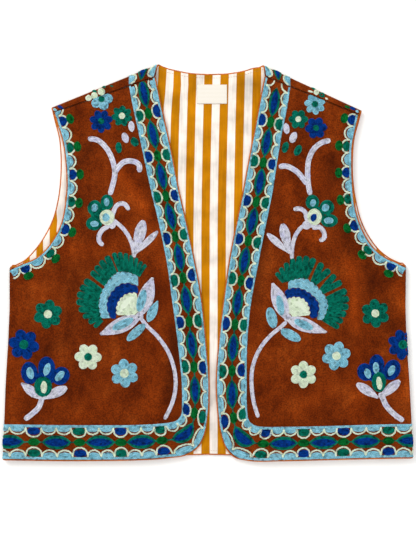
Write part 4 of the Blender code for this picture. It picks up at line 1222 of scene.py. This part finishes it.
def pad_mesh(outline, level, surface, place):
    """The low padding under a motif, rounded down to the velvet at its edge."""
    edge = evenly(outline, PAD_STEP, closed=True)
    rings = [inset(edge, 0.35), inset(edge, PAD_ROUND)]
    grid = grid_inside(edge, 4.0, 1.6)
    flat, faces, rim = triangulate(edge, [], rings, grid)
    near = np.clip(distance(flat, edge) / PAD_ROUND, 0, 1)
    top = surface - 0.15 + (PAD_LIFT + 0.15 + LEVEL_LIFT * level) * np.sqrt(1 - (1 - near) ** 2)
    # The sole lies in the velvet, where nothing shows of it, so its points are far apart
    sole, sole_faces, sole_rim = triangulate(edge, [], [], grid_inside(edge, 8.0, 3.0))
    count = len(flat)
    order = [(rim[k], count + sole_rim[k]) for k in range(len(edge)) if k in rim and k in sole_rim]
    bottom = [[count + k for k in face[::-1]] for face in sole_faces]
    walls = [
        [a, c, d, b] for (a, c), (b, d) in zip(order, order[1:] + order[:1]) if a != b and c != d
    ]
    low = np.full(len(sole), surface - 0.35)
    points = place(np.vstack([flat, sole]), np.concatenate([top, low]))
    return points, faces + bottom + walls


def embroider(name, shapes, ropes, surface, place, keep_inside):
    """Pads and chain stitches of every colour on one panel, one piece for each colour."""
    boxes = [(shape.min(axis=0), shape.max(axis=0)) for _, shape, _ in shapes]
    work = {}
    for index, (colour, outline, level) in enumerate(shapes):
        parts = work.setdefault(colour, [])
        parts.append((*pad_mesh(outline, level, surface, place), 1.0))
        rows = [stitches_along(path) for path in stitch_rows(outline)]
        rows = [row for row in rows if len(row[0])]
        if not rows:
            continue
        middles = np.vstack([row[0] for row in rows])
        directions = np.vstack([row[1] for row in rows])
        kept = keep_inside(middles)
        for later in range(index + 1, len(shapes)):
            low, high = boxes[later]
            if (low > boxes[index][1]).any() or (high < boxes[index][0]).any():
                continue
            kept &= ~inside(middles, shapes[later][1])
        if kept.any():
            lift = surface + PAD_LIFT + LEVEL_LIFT * level + STITCH_LIFT
            lifts = np.full(kept.sum(), lift)
            stitches = chain_mesh(middles[kept], directions[kept], lifts, place)
            parts.append((*stitches, stitch_tone_and_shade(kept.sum())))
    over = [shape for colour, shape, _ in shapes if colour == "leaf_green"]
    for colour, path in ropes:
        if keep_inside(path).all():
            cord = pad_mesh(ribbon(path, 2.0, 2.0), -0.8, surface, place)
            work.setdefault(colour, []).append((*cord, 0.9))
        middles, directions = stitches_along(path)
        kept = keep_inside(middles)
        for shape in over:
            kept &= ~inside(middles, shape)
        if kept.any():
            lifts = np.full(kept.sum(), surface + PAD_LIFT + ROPE_LIFT)
            wide = ROPE_WIDTH if colour == "cream" else LINE_WIDTH
            stitches = chain_mesh(middles[kept], directions[kept], lifts, place, wide)
            work.setdefault(colour, []).append((*stitches, stitch_tone_and_shade(kept.sum())))
    pieces = []
    for colour, parts in work.items():
        points, faces = joined([part[:2] for part in parts])
        piece = new_piece(f"{name}_{colour}_wool", points, faces, YARNS[colour], "velvet")
        # How much painted shade each part's wool gets: full on the padding, less on the ropes' cords and
        # on stitches
        paint(piece, "padding", np.concatenate([
            np.broadcast_to(part[2], len(part[0])) for part in parts
        ]))
        pieces.append(piece)
    return pieces


# Materials

def srgb(text, light=1.0):
    """Linear colour from sRGB hex, as it is seen under so much light."""
    parts = [int(text[k:k + 2], 16) / 255 for k in (0, 2, 4)]
    linear = [c / 12.92 if c <= 0.04045 else ((c + 0.055) / 1.055) ** 2.4 for c in parts]
    return (*(part / light for part in linear), 1.0)


def add(material, kind, settings=(), links=(), **properties):
    """Adds a node with its settings and with links from other nodes' outputs."""
    node = material.node_tree.nodes.new(kind)
    for key, value in properties.items():
        setattr(node, key, value)
    for key, value in dict(settings).items():
        node.inputs[key].default_value = value
    for key, (source, output) in dict(links).items():
        material.node_tree.links.new(source.outputs[output], node.inputs[key])
    return node


def new_material(name, roughness, sheen, sheen_colour, specular):
    """A material for fibres, with the fuzz that they show at a slant as sheen."""
    material = bpy.data.materials.new(name)
    material.use_nodes = True
    shader = material.node_tree.nodes["Principled BSDF"]
    shader.inputs["Roughness"].default_value = roughness
    shader.inputs["Sheen Weight"].default_value = sheen
    shader.inputs["Sheen Roughness"].default_value = 0.45
    shader.inputs["Sheen Tint"].default_value = srgb(sheen_colour)
    shader.inputs["Specular IOR Level"].default_value = specular
    shader.inputs["IOR"].default_value = 1.5
    return material, shader


def finish_material(material, shader, colour, height, bump_distance, bump_strength):
    """Links a height to the shader, and a colour where the material has no constant one."""
    links = material.node_tree.links
    if colour:
        links.new(colour[0].outputs[colour[1]], shader.inputs["Base Color"])
    relief = add(material, "ShaderNodeBump", {
        "Strength": bump_strength, "Distance": bump_distance * MM,
    }, {"Height": height})
    links.new(relief.outputs["Normal"], shader.inputs["Normal"])
    return material


def wave_scale(spacing):
    """Scale of a wave texture that repeats at about every second thread, as a plain weave does."""
    return 0.5 / (spacing * MM) / math.pi


def ramp(node, stops, light=LIGHT):
    """Sets a colour ramp's stops from places and sRGB hex."""
    elements = node.color_ramp.elements
    while len(elements) < len(stops):
        elements.new(0.5)
    for element, (place, colour) in zip(elements, stops):
        element.position = place
        element.color = srgb(colour, light)
    return node


def cut_pile_velvet(name, stops, seam_shade):
    """Cotton velvet, woven with a cut pile. The pile lies in patches, some lighter and some darker,
    with a soft sheen at a slant. Over it lie bands of painted sheen and shade where a panel has
    them, and painted shade along its edges, where it sinks into a seam."""
    material, shader = new_material(name, 0.9, 0.12, "C06A30", 0.06)
    coords = add(material, "ShaderNodeTexCoord")
    patches = add(material, "ShaderNodeTexNoise", {
        "Scale": 1 / 0.048, "Detail": 4.0, "Roughness": 0.58, "Distortion": 0.15,
    }, {"Vector": (coords, "Object")})
    stretch = add(material, "ShaderNodeMapping", {"Scale": (1.0, 0.45, 1.0), "Rotation": (0, 0, 0.35)},
                  {"Vector": (coords, "Object")})
    strokes = add(material, "ShaderNodeTexNoise", {
        "Scale": 1 / 0.012, "Detail": 4.0, "Roughness": 0.65,
    }, {"Vector": (stretch, "Vector")})
    both = add(material, "ShaderNodeMath", {1: 0.62}, {0: (patches, "Fac")}, operation="MULTIPLY")
    mixed = add(material, "ShaderNodeMath", {1: 0.38}, {0: (strokes, "Fac"), 2: (both, "Value")},
                operation="MULTIPLY_ADD")
    pile = ramp(add(material, "ShaderNodeValToRGB", links={"Fac": (mixed, "Value")}), stops)
    # Pile tufts are about 0.3 mm apart, drawn at 1.5 mm so that they show
    tufts = add(material, "ShaderNodeTexNoise", {
        "Scale": 1 / 0.0015, "Detail": 2.0, "Roughness": 0.7,
    }, {"Vector": (coords, "Object")})
    speckle = add(material, "ShaderNodeMapRange", {
        "From Min": 0.38, "From Max": 0.62, "To Min": 0.62, "To Max": 1.38,
    }, {"Value": (tufts, "Fac")})
    # Painted sheen and fold shade, from the bands given for each front
    pile_sheen_and_shade = add(material, "ShaderNodeAttribute", attribute_name="pile_sheen_and_shade")
    lighter = add(material, "ShaderNodeMapRange", {
        "From Min": -1.2, "From Max": 1.2, "To Min": 0.35, "To Max": 1.65,
    }, {"Value": (pile_sheen_and_shade, "Fac")})
    # Painted shade within about a millimetre of the panel's edges and seams
    edge = add(material, "ShaderNodeAttribute", attribute_name="from_edge")
    near = add(material, "ShaderNodeMapRange", {
        "From Min": 0.3, "From Max": 1.2, "To Min": seam_shade, "To Max": 1.0,
    }, {"Value": (edge, "Fac")})
    colour = (pile, "Color")
    for factor in (speckle, lighter, near):
        shaded = add(material, "ShaderNodeMix", {0: 1.0}, {6: colour, 7: (factor, "Result")},
                     data_type="RGBA", blend_type="MULTIPLY")
        colour = (shaded, "Result")
    return finish_material(material, shader, colour, (tufts, "Fac"), 0.3, 0.5)


def striped_cotton(name, mustard, offwhite):
    """Plain-woven cotton with dyed stripes: matt, with slubs along the warp and a fine weave, and painted
    shadow where a panel's shade attribute is set.
    """
    material, shader = new_material(name, 0.9, 0.02, "FFF2E0", 0.05)
    across = add(material, "ShaderNodeAttribute", attribute_name="stripe")
    coords = add(material, "ShaderNodeTexCoord")
    wander = add(material, "ShaderNodeTexNoise", {"Scale": 1 / 0.02, "Detail": 2.0},
                 {"Vector": (coords, "Object")})
    shaken = add(material, "ShaderNodeMath", {1: 0.012, 2: -0.006}, {0: (wander, "Fac")},
                 operation="MULTIPLY_ADD")
    place = add(material, "ShaderNodeMath", links={0: (across, "Fac"), 1: (shaken, "Value")},
                operation="ADD")
    share = add(material, "ShaderNodeMath", links={0: (place, "Value")}, operation="FRACT")
    stripe = ramp(add(material, "ShaderNodeValToRGB", links={"Fac": (share, "Value")}), (
        (0.0, mustard), (0.500, mustard), (0.518, offwhite), (0.982, offwhite), (1.0, mustard),
    ))
    stretch = add(material, "ShaderNodeMapping", {"Scale": (1.0, 0.06, 1.0)},
                  {"Vector": (coords, "Object")})
    slubs = add(material, "ShaderNodeTexNoise", {"Scale": 1 / 0.0026, "Detail": 3.0},
                {"Vector": (stretch, "Vector")})
    clouds = add(material, "ShaderNodeTexNoise", {"Scale": 1 / 0.03, "Detail": 3.0},
                 {"Vector": (coords, "Object")})
    uneven = add(material, "ShaderNodeMath", {1: 0.5}, {0: (slubs, "Fac"), 2: (clouds, "Fac")},
                 operation="MULTIPLY_ADD")
    shade = add(material, "ShaderNodeMapRange", {
        "From Min": 0.55, "From Max": 0.95, "To Min": 0.74, "To Max": 1.18,
    }, {"Value": (uneven, "Value")})
    # Painted shadow, darkest where the shade attribute is one
    fold = add(material, "ShaderNodeAttribute", attribute_name="shade")
    dim = add(material, "ShaderNodeMapRange", {
        "From Min": 0.0, "From Max": 1.0, "To Min": 1.0, "To Max": 0.62,
    }, {"Value": (fold, "Fac")})
    colour = (stripe, "Color")
    for factor in (shade, dim):
        shaded = add(material, "ShaderNodeMix", {0: 1.0}, {6: colour, 7: (factor, "Result")},
                     data_type="RGBA", blend_type="MULTIPLY")
        colour = (shaded, "Result")
    # Threads are about 0.35 mm apart, drawn at 1.1 mm so that the weave shows
    warp, weft = (
        add(material, "ShaderNodeTexWave", {"Scale": wave_scale(1.1)},
            {"Vector": (coords, "Object")}, bands_direction=direction)
        for direction in ("X", "Y")
    )
    weave = add(material, "ShaderNodeMath", links={0: (warp, "Fac"), 1: (weft, "Fac")},
                operation="MAXIMUM")
    return finish_material(material, shader, colour, (weave, "Value"), 0.12, 0.35)


def spun_wool(name, colour, dark, between, light=LIGHT):
    """Two-ply wool yarn, spun soft: matt, fuzzy at a slant, with uneven dye from ply to ply. The
    padding between the stitches, and the stitches pulled in deep, get painted shade."""
    material, shader = new_material(name, 0.95, 0.04, colour, 0.08)
    coords = add(material, "ShaderNodeTexCoord")
    plies = add(material, "ShaderNodeTexNoise", {"Scale": 1 / 0.0011, "Detail": 2.0},
                {"Vector": (coords, "Object")})
    patches = add(material, "ShaderNodeTexNoise", {"Scale": 1 / 0.006, "Detail": 2.0},
                  {"Vector": (coords, "Object")})
    both = add(material, "ShaderNodeMath", {1: 0.5}, {0: (plies, "Fac"), 2: (patches, "Fac")},
               operation="MULTIPLY_ADD")
    dyed = ramp(add(material, "ShaderNodeValToRGB", links={"Fac": (both, "Value")}),
                ((0.52, dark), (0.80, colour)), light)
    # Painted shade of the padding and of deep stitches, from each part's number
    padding = add(material, "ShaderNodeAttribute", attribute_name="padding")
    depth = add(material, "ShaderNodeMapRange", {
        "From Min": 0.0, "From Max": 1.3, "To Min": 1.0, "To Max": between,
    }, {"Value": (padding, "Fac")})
    shaded = add(material, "ShaderNodeMix", {0: 1.0}, {
        6: (dyed, "Color"), 7: (depth, "Result"),
    }, data_type="RGBA", blend_type="MULTIPLY")
    return finish_material(material, shader, (shaded, "Result"), (plies, "Fac"), 0.2, 0.6)


def woven_ribbon(name, colour):
    """Cotton ribbon woven in fine satin, with faint lines across."""
    material, shader = new_material(name, 0.6, 0.1, "FFFFFF", 0.35)
    coords = add(material, "ShaderNodeTexCoord")
    # The weft is about 0.2 mm apart, drawn at 0.9 mm so that it shows
    lines = add(material, "ShaderNodeTexWave", {"Scale": wave_scale(0.9), "Distortion": 0.4},
                {"Vector": (coords, "Object")}, bands_direction="Y")
    tint = ramp(add(material, "ShaderNodeValToRGB", links={"Fac": (lines, "Fac")}),
                ((0.0, "E0D8C8"), (0.6, colour)))
    return finish_material(material, shader, (tint, "Color"), (lines, "Fac"), 0.1, 0.3)


def cotton_thread(name, colour):
    """Mercerised sewing thread: smooth and a little shiny."""
    material, shader = new_material(name, 0.5, 0.05, "FFFFFF", 0.4)
    shader.inputs["Base Color"].default_value = srgb(colour, LIGHT)
    coords = add(material, "ShaderNodeTexCoord")
    # The plies turn about every 0.4 mm, drawn at 0.8 mm
    twist = add(material, "ShaderNodeTexWave", {"Scale": wave_scale(0.8)},
                {"Vector": (coords, "Object")}, bands_direction="DIAGONAL")
    return finish_material(material, shader, None, (twist, "Fac"), 0.08, 0.3)


VELVET_CLOTH = cut_pile_velvet("rust_cotton_velvet", (
    (0.36, "501900"), (0.45, "622201"), (0.54, "702A03"), (0.64, "823608"),
), 0.3)
# A lighter copy of the velvet for the rolled edges: painted sheen of the pile seen at a slant
SHEEN_LIT_EDGE_VELVET = cut_pile_velvet("rust_velvet_turned_edge_painted_sheen", (
    (0.30, "A6521E"), (0.50, "BC6428"), (0.66, "C87234"), (0.80, "D48042"),
), 1.0)
STRIPED_LINING = striped_cotton("mustard_striped_cotton", "C07A04", "F2E8DE")
LABEL_RIBBON = woven_ribbon("offwhite_woven_ribbon", "EEE8DE")
MUSTARD_THREAD = cotton_thread("mustard_sewing_thread", "B98838")
WHITE_THREAD = cotton_thread("offwhite_sewing_thread", "E9DFC6")
YARNS = {
    # Two colours of the plies, the share of light on the padding, and the studio light if another
    "light_blue": spun_wool("light_blue_wool", "ACECFF", "80CCE4", 0.3, 1.02),
    "navy": spun_wool("navy_wool", "0450BA", "023482", 0.2),
    "dark_green": spun_wool("dark_green_wool", "049A80", "016E58", 0.2),
    "leaf_green": spun_wool("leaf_green_wool", "068E3E", "016428", 0.2),
    "cream": spun_wool("cream_wool", "F4FFEA", "E8FAD8", 0.55, 1.0),
    "lavender": spun_wool("lavender_wool", "F4F4FF", "E0E0FC", 0.42, 1.0),
}


# Pieces

def stripe_places(points):
    """Where each point of a lining lies in the stripes, counted in stripes."""
    # The stripes lean a few millimetres aside where the cloth is drawn in, most of all at the neck
    lean = 4.0 * np.clip((points[:, 1] - 40.0) / 210.0, 0.0, 1.0) ** 1.4
    lean -= 7.5 * smooth((-points[:, 0] - 120.0) / 50.0)
    drawn_in = smooth((points[:, 1] - 190.0) / 60.0)
    lean += 3.5 * drawn_in * smooth((-points[:, 0] - 25.0) / 35.0)
    # The cloth is drawn together beside one armhole and stretched beside the other
    lean += 0.213 * np.maximum(-points[:, 0] - 199.6, 0.0)
    lean -= 3.2 * smooth((-points[:, 0] - 190.0) / 10.0)
    lean += np.clip(points[:, 0] - 199.0, 0.0, 18.0)
    return (points[:, 0] + 3.0 - lean) / STRIPE_PITCH + 0.255


def running_stitches(path, lift, place, length, pitch, thick):
    """Short threads in a row along a flat path."""
    knots = lengths(path)
    parts = []
    for start in np.arange(pitch / 2, knots[-1] - length, pitch):
        at = start + np.linspace(0, length, 4)
        run = read_along(path, knots, at)
        parts.append(tube(run, lift, place, thick / 2, thick / 2, 5, pointed=True))
    return joined(parts)


def turned_edges(name, edges, depths, place):
    """The velvet rolled over along its free edges, each so far to the left of its path, in a lighter
    velvet with painted sheen.
    """
    rolls = [
        tube(shifted(edge, depth), TURNED_EDGE_LIFT, place, *TURNED_EDGE_ROLL, 8)
        for edge, depth in zip(edges, depths)
    ]
    return new_piece(name, *joined(rolls), SHEEN_LIT_EDGE_VELVET, "velvet")


def declare(outline):
    """Works out a panel's flat width, length and area, and keeps none of them."""
    width, length = np.ptp(outline, axis=0) * MM
    abs(area(outline)) * MM * MM


def make_back():
    """The back with its turned edges and what is worked on its straps, and its lining."""
    velvet_place, lining_place = (partial(place_back, layer=layer) for layer in ("velvet", "lining"))
    outline, lines, edges = back_outline("velvet")
    velvet = cloth("velvet_back", "velvet", outline, lines, GRID["back"], velvet_place, VELVET_CLOTH)
    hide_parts("back_velvet")
    depths = [TURNED_EDGE_INSET * way for way in (-1, 1, -1, 1)]
    rim = turned_edges("velvet_back_turned_edges", edges, depths, velvet_place)
    worked = []
    for side, word in SIDES.items():
        shapes, ropes = strap_shapes(side)
        shapes = [(colour, unrolled_strap(shape, side), level) for colour, shape, level in shapes]
        ropes = [(colour, unrolled_strap(path, side)) for colour, path in ropes]
        worked += embroider(f"strap_{word}", shapes, ropes, VELVET / 2, velvet_place,
                            lambda points: inside(points, outline))
    declare(outline)

    outline, lines, edges = back_outline("lining")
    lining = cloth("lining_back", "lining", outline, lines, GRID["back"], lining_place, STRIPED_LINING)
    flat = flat_of(lining)
    paint(lining, "stripe", stripe_places(flat))
    # Shadow in the dips where the lining runs up to the strap on either side of the neck
    shade = np.zeros(len(flat))
    for x, y in ((-62.0, 241.0), (63.0, 240.0)):
        shade += np.exp(-((flat[:, 0] - x) / 5.0) ** 2 - ((flat[:, 1] - y) / 17.0) ** 2)
    paint(lining, "shade", shade)
    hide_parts("back_lining")
    seams = [
        running_stitches(shifted(edge, depth), -LINING / 2 - 0.05, lining_place, 2.2, 3.3, 0.45)
        for edge, depth in ((edges[0], -4.0), (edges[3], 4.0))
    ]
    thread = new_piece("lining_edge_stitches", *joined(seams), MUSTARD_THREAD, "lining")
    declare(outline)
    return lining


def flat_of(piece):
    """Flat x, kept at each point when the panel was made, with the placed y."""
    count = len(piece.data.vertices)
    across, placed = np.zeros(count), np.zeros(count * 3)
    piece.data.attributes["across"].data.foreach_get("value", across)
    piece.data.vertices.foreach_get("co", placed)
    return np.stack([across, placed.reshape(-1, 3)[:, 1] / MM], axis=1)


def painted_pile_sheen_and_shade(points, side):
    """How much painted sheen or shade the pile gets at each point of a front."""
    total = np.zeros(len(points))
    for *stroke, width, much in PILE_SHEEN_AND_SHADE[side]:
        away = beside(points, *stroke)[1]
        total += much * np.exp(-(away / width) ** 2)
    return total


def make_front(side):
    """One front: its lining, its velvet with turned edges, and its embroidery."""
    word = SIDES[side]
    velvet_place, lining_place = (
        partial(place_front, side=side, layer=layer) for layer in ("velvet", "lining")
    )
    outline, lines, _ = front_outline(side, "lining")
    lining = cloth(f"lining_front_{word}", "lining", outline, lines, GRID["back"], lining_place,
                   STRIPED_LINING)
    paint(lining, "stripe", stripe_places(flat_of(lining)))
    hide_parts(f"front_{word}_lining")
    declare(outline)

    outline, lines, edges = front_outline(side, "velvet")
    velvet = cloth(f"velvet_front_{word}", "velvet", outline, lines, GRID["front"], velvet_place,
                   VELVET_CLOTH)
    # Painted sheen and fold shade of the pile
    paint(velvet, "pile_sheen_and_shade", painted_pile_sheen_and_shade(flat_of(velvet), side))
    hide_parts(f"front_{word}_velvet")
    rim = turned_edges(f"velvet_front_{word}_turned_edges", edges,
                       [TURNED_EDGE_INSET] * len(edges), velvet_place)

    shapes = fan_shapes(side)
    for row in ROSETTES[side]:
        shapes += rosette_shapes(*row)
    shapes += [("lavender", ribbon(column(points, side), width), 0) for width, points in VINES]
    for x, y, half_width, half_length, tilt, colour, level in OVALS[side]:
        shapes.append((colour, oval((x, y), half_width, half_length, tilt), level))
    for x0, y0, x1, y1, width, widest, colour, level in LEAVES[side]:
        shapes.append((colour, leaf((x0, y0), (x1, y1), width, widest), level))
    at, total = border_frame(side)
    more, ropes = border_shapes(side, at, 1.0, total)
    shapes += more
    more, arm_ropes = armhole_shapes(side)
    shapes += more
    shapes = [
        (colour, clear_of_seams(shape, side), level) for colour, shape, level in shapes
    ]
    shapes = [row for row in shapes if abs(area(row[1])) > 4.0]
    clear = inset(outline, 0.6)
    worked = embroider(f"front_{word}", sorted(shapes, key=lambda row: row[2]), ropes + arm_ropes,
                       VELVET / 2, velvet_place, lambda points: inside(points, clear))
    declare(outline)


def clear_of_seams(outline, side):
    """An outline with what crosses the shoulder or side seam brought back to just inside it."""
    neck, tip = column(OPEN_EDGE, side)[0], column(FRONT_ARMHOLE, side)[0]
    run = (tip - neck) / np.hypot(*(tip - neck))
    past = np.array([-run[1], run[0]])
    over = np.maximum((outline - neck) @ past + GAP + 0.1, 0.0)
    outline = outline - over[:, None] * past
    limit = side_edge(outline[:, 1], side, "velvet") - 0.4
    return np.column_stack([np.minimum(outline[:, 0], limit), outline[:, 1]])


def make_label():
    """The woven label: a blank ribbon, low at its edges, where short stitches hold it down."""
    width, height = LABEL_SIZE
    columns, rows = 33, 21
    x = np.linspace(-width / 2, width / 2, columns)
    y = np.linspace(-height / 2, height / 2, rows)
    grid_x, grid_y = np.meshgrid(x, y)
    from_end = np.minimum(width / 2 - np.abs(grid_x), 3.0)
    from_side = np.minimum(height / 2 - np.abs(grid_y), 1.2)
    low = VELVET + GAP + LINING + GAP
    # Its face rises from the sides and past the sewn ends, and waves a little
    top = low + 0.55 + 0.25 * np.sin(from_side / 1.2 * math.pi / 2) + 0.12 * (from_end > 1.6)
    top += 0.08 * np.sin(grid_x / 7.0) * np.cos(grid_y / 6.0)
    flat = np.stack([grid_x + LABEL_CENTRE[0], grid_y + LABEL_CENTRE[1]], axis=-1).reshape(-1, 2)
    count = len(flat)
    points = np.vstack([
        np.column_stack([flat, top.ravel()]), np.column_stack([flat, np.full(count, low)]),
    ])
    faces = []
    for j in range(rows - 1):
        for i in range(columns - 1):
            a = j * columns + i
            quad = [a, a + 1, a + columns + 1, a + columns]
            faces += [quad, [count + k for k in quad[::-1]]]
    rim = [*range(columns), *range(2 * columns - 1, rows * columns, columns),
           *range(rows * columns - 2, (rows - 1) * columns - 1, -1),
           *range((rows - 2) * columns, 0, -columns)]
    for a, b in zip(rim, rim[1:] + rim[:1]):
        faces.append([b, a, count + a, count + b])
    label = new_piece("woven_label", points, faces, LABEL_RIBBON, "label")
    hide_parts("label")
    seam_inset = 0.9
    corner = np.array([width / 2 - seam_inset, height / 2 - seam_inset])
    centre = np.array(LABEL_CENTRE)
    square = centre + corner * np.array([(-1, -1), (1, -1), (1, 1), (-1, 1), (-1, -1)])

    def on_label(points, lift):
        """Flat points put on the label's face."""
        return np.column_stack([points, low + 0.75 + lift])

    seams = running_stitches(evenly(square, 1.0), 0.0, on_label, 1.5, 2.3, 0.35)
    thread = new_piece("label_stitches", *seams, WHITE_THREAD, "label")


# Camera, floor and light

def make_camera():
    """Looks straight down, at the picture's scale."""
    camera = bpy.data.cameras.new("camera_above")
    view_height, distance_up, cloth_height = 0.740, 2.2, 0.006
    middle_x, middle_y = 0.0002, -0.0197
    camera.sensor_width = 36.0
    camera.lens = camera.sensor_width * (distance_up - cloth_height) / view_height
    camera.clip_end = 50.0
    holder = bpy.data.objects.new("camera_above", camera)
    holder.location = (middle_x, middle_y, distance_up)
    bpy.context.scene.collection.objects.link(holder)
    bpy.context.scene.camera = holder


def make_floor():
    """White paper under the garment."""
    mesh = bpy.data.meshes.new("studio_floor")
    reach, level = 4, -0.0006
    corners = [(x * reach, y * reach, level) for x, y in ((-1, -1), (1, -1), (1, 1), (-1, 1))]
    mesh.from_pydata(corners, [], [(0, 1, 2, 3)])
    material = bpy.data.materials.new("white_studio_paper")
    material.use_nodes = True
    shader = material.node_tree.nodes["Principled BSDF"]
    shader.inputs["Base Color"].default_value = srgb("FAFAF8")
    shader.inputs["Roughness"].default_value = 0.95
    shader.inputs["Specular IOR Level"].default_value = 0.1
    mesh.materials.append(material)
    floor = bpy.data.objects.new("studio_floor", mesh)
    bpy.context.scene.collection.objects.link(floor)


def area_light(name, place, aim, size, watts, colour):
    """A round lamp that points from one place to another."""
    light = bpy.data.lights.new(name, "AREA")
    light.shape = "DISK"
    light.size = size
    light.energy = watts
    light.color = srgb(colour)[:3]
    holder = bpy.data.objects.new(name, light)
    holder.location = place
    direction = Vector(aim) - Vector(place)
    holder.rotation_euler = direction.to_track_quat("-Z", "Y").to_euler()
    bpy.context.scene.collection.objects.link(holder)


def make_light():
    """Even daylight, a window at the upper left and a weak fill from the other side."""
    world = bpy.data.worlds.new("studio_daylight")
    world.use_nodes = True
    background = world.node_tree.nodes["Background"]
    background.inputs["Color"].default_value = srgb("FFFFFF")
    background.inputs["Strength"].default_value = 0.82 * LIGHT
    bpy.context.scene.world = world
    area_light("window_light", (-1.4, 1.6, 1.6), (0, 0, 0), 1.6, 36 * LIGHT, "FFFEFB")
    area_light("fill_light", (1.6, -0.8, 2.2), (0, 0, 0), 1.8, 8 * LIGHT, "FAFCFF")
    bpy.context.scene.view_settings.view_transform = "Standard"


make_camera()
make_floor()
make_light()
lining_back = make_back()
for each_side in SIDES:
    make_front(each_side)
make_label()
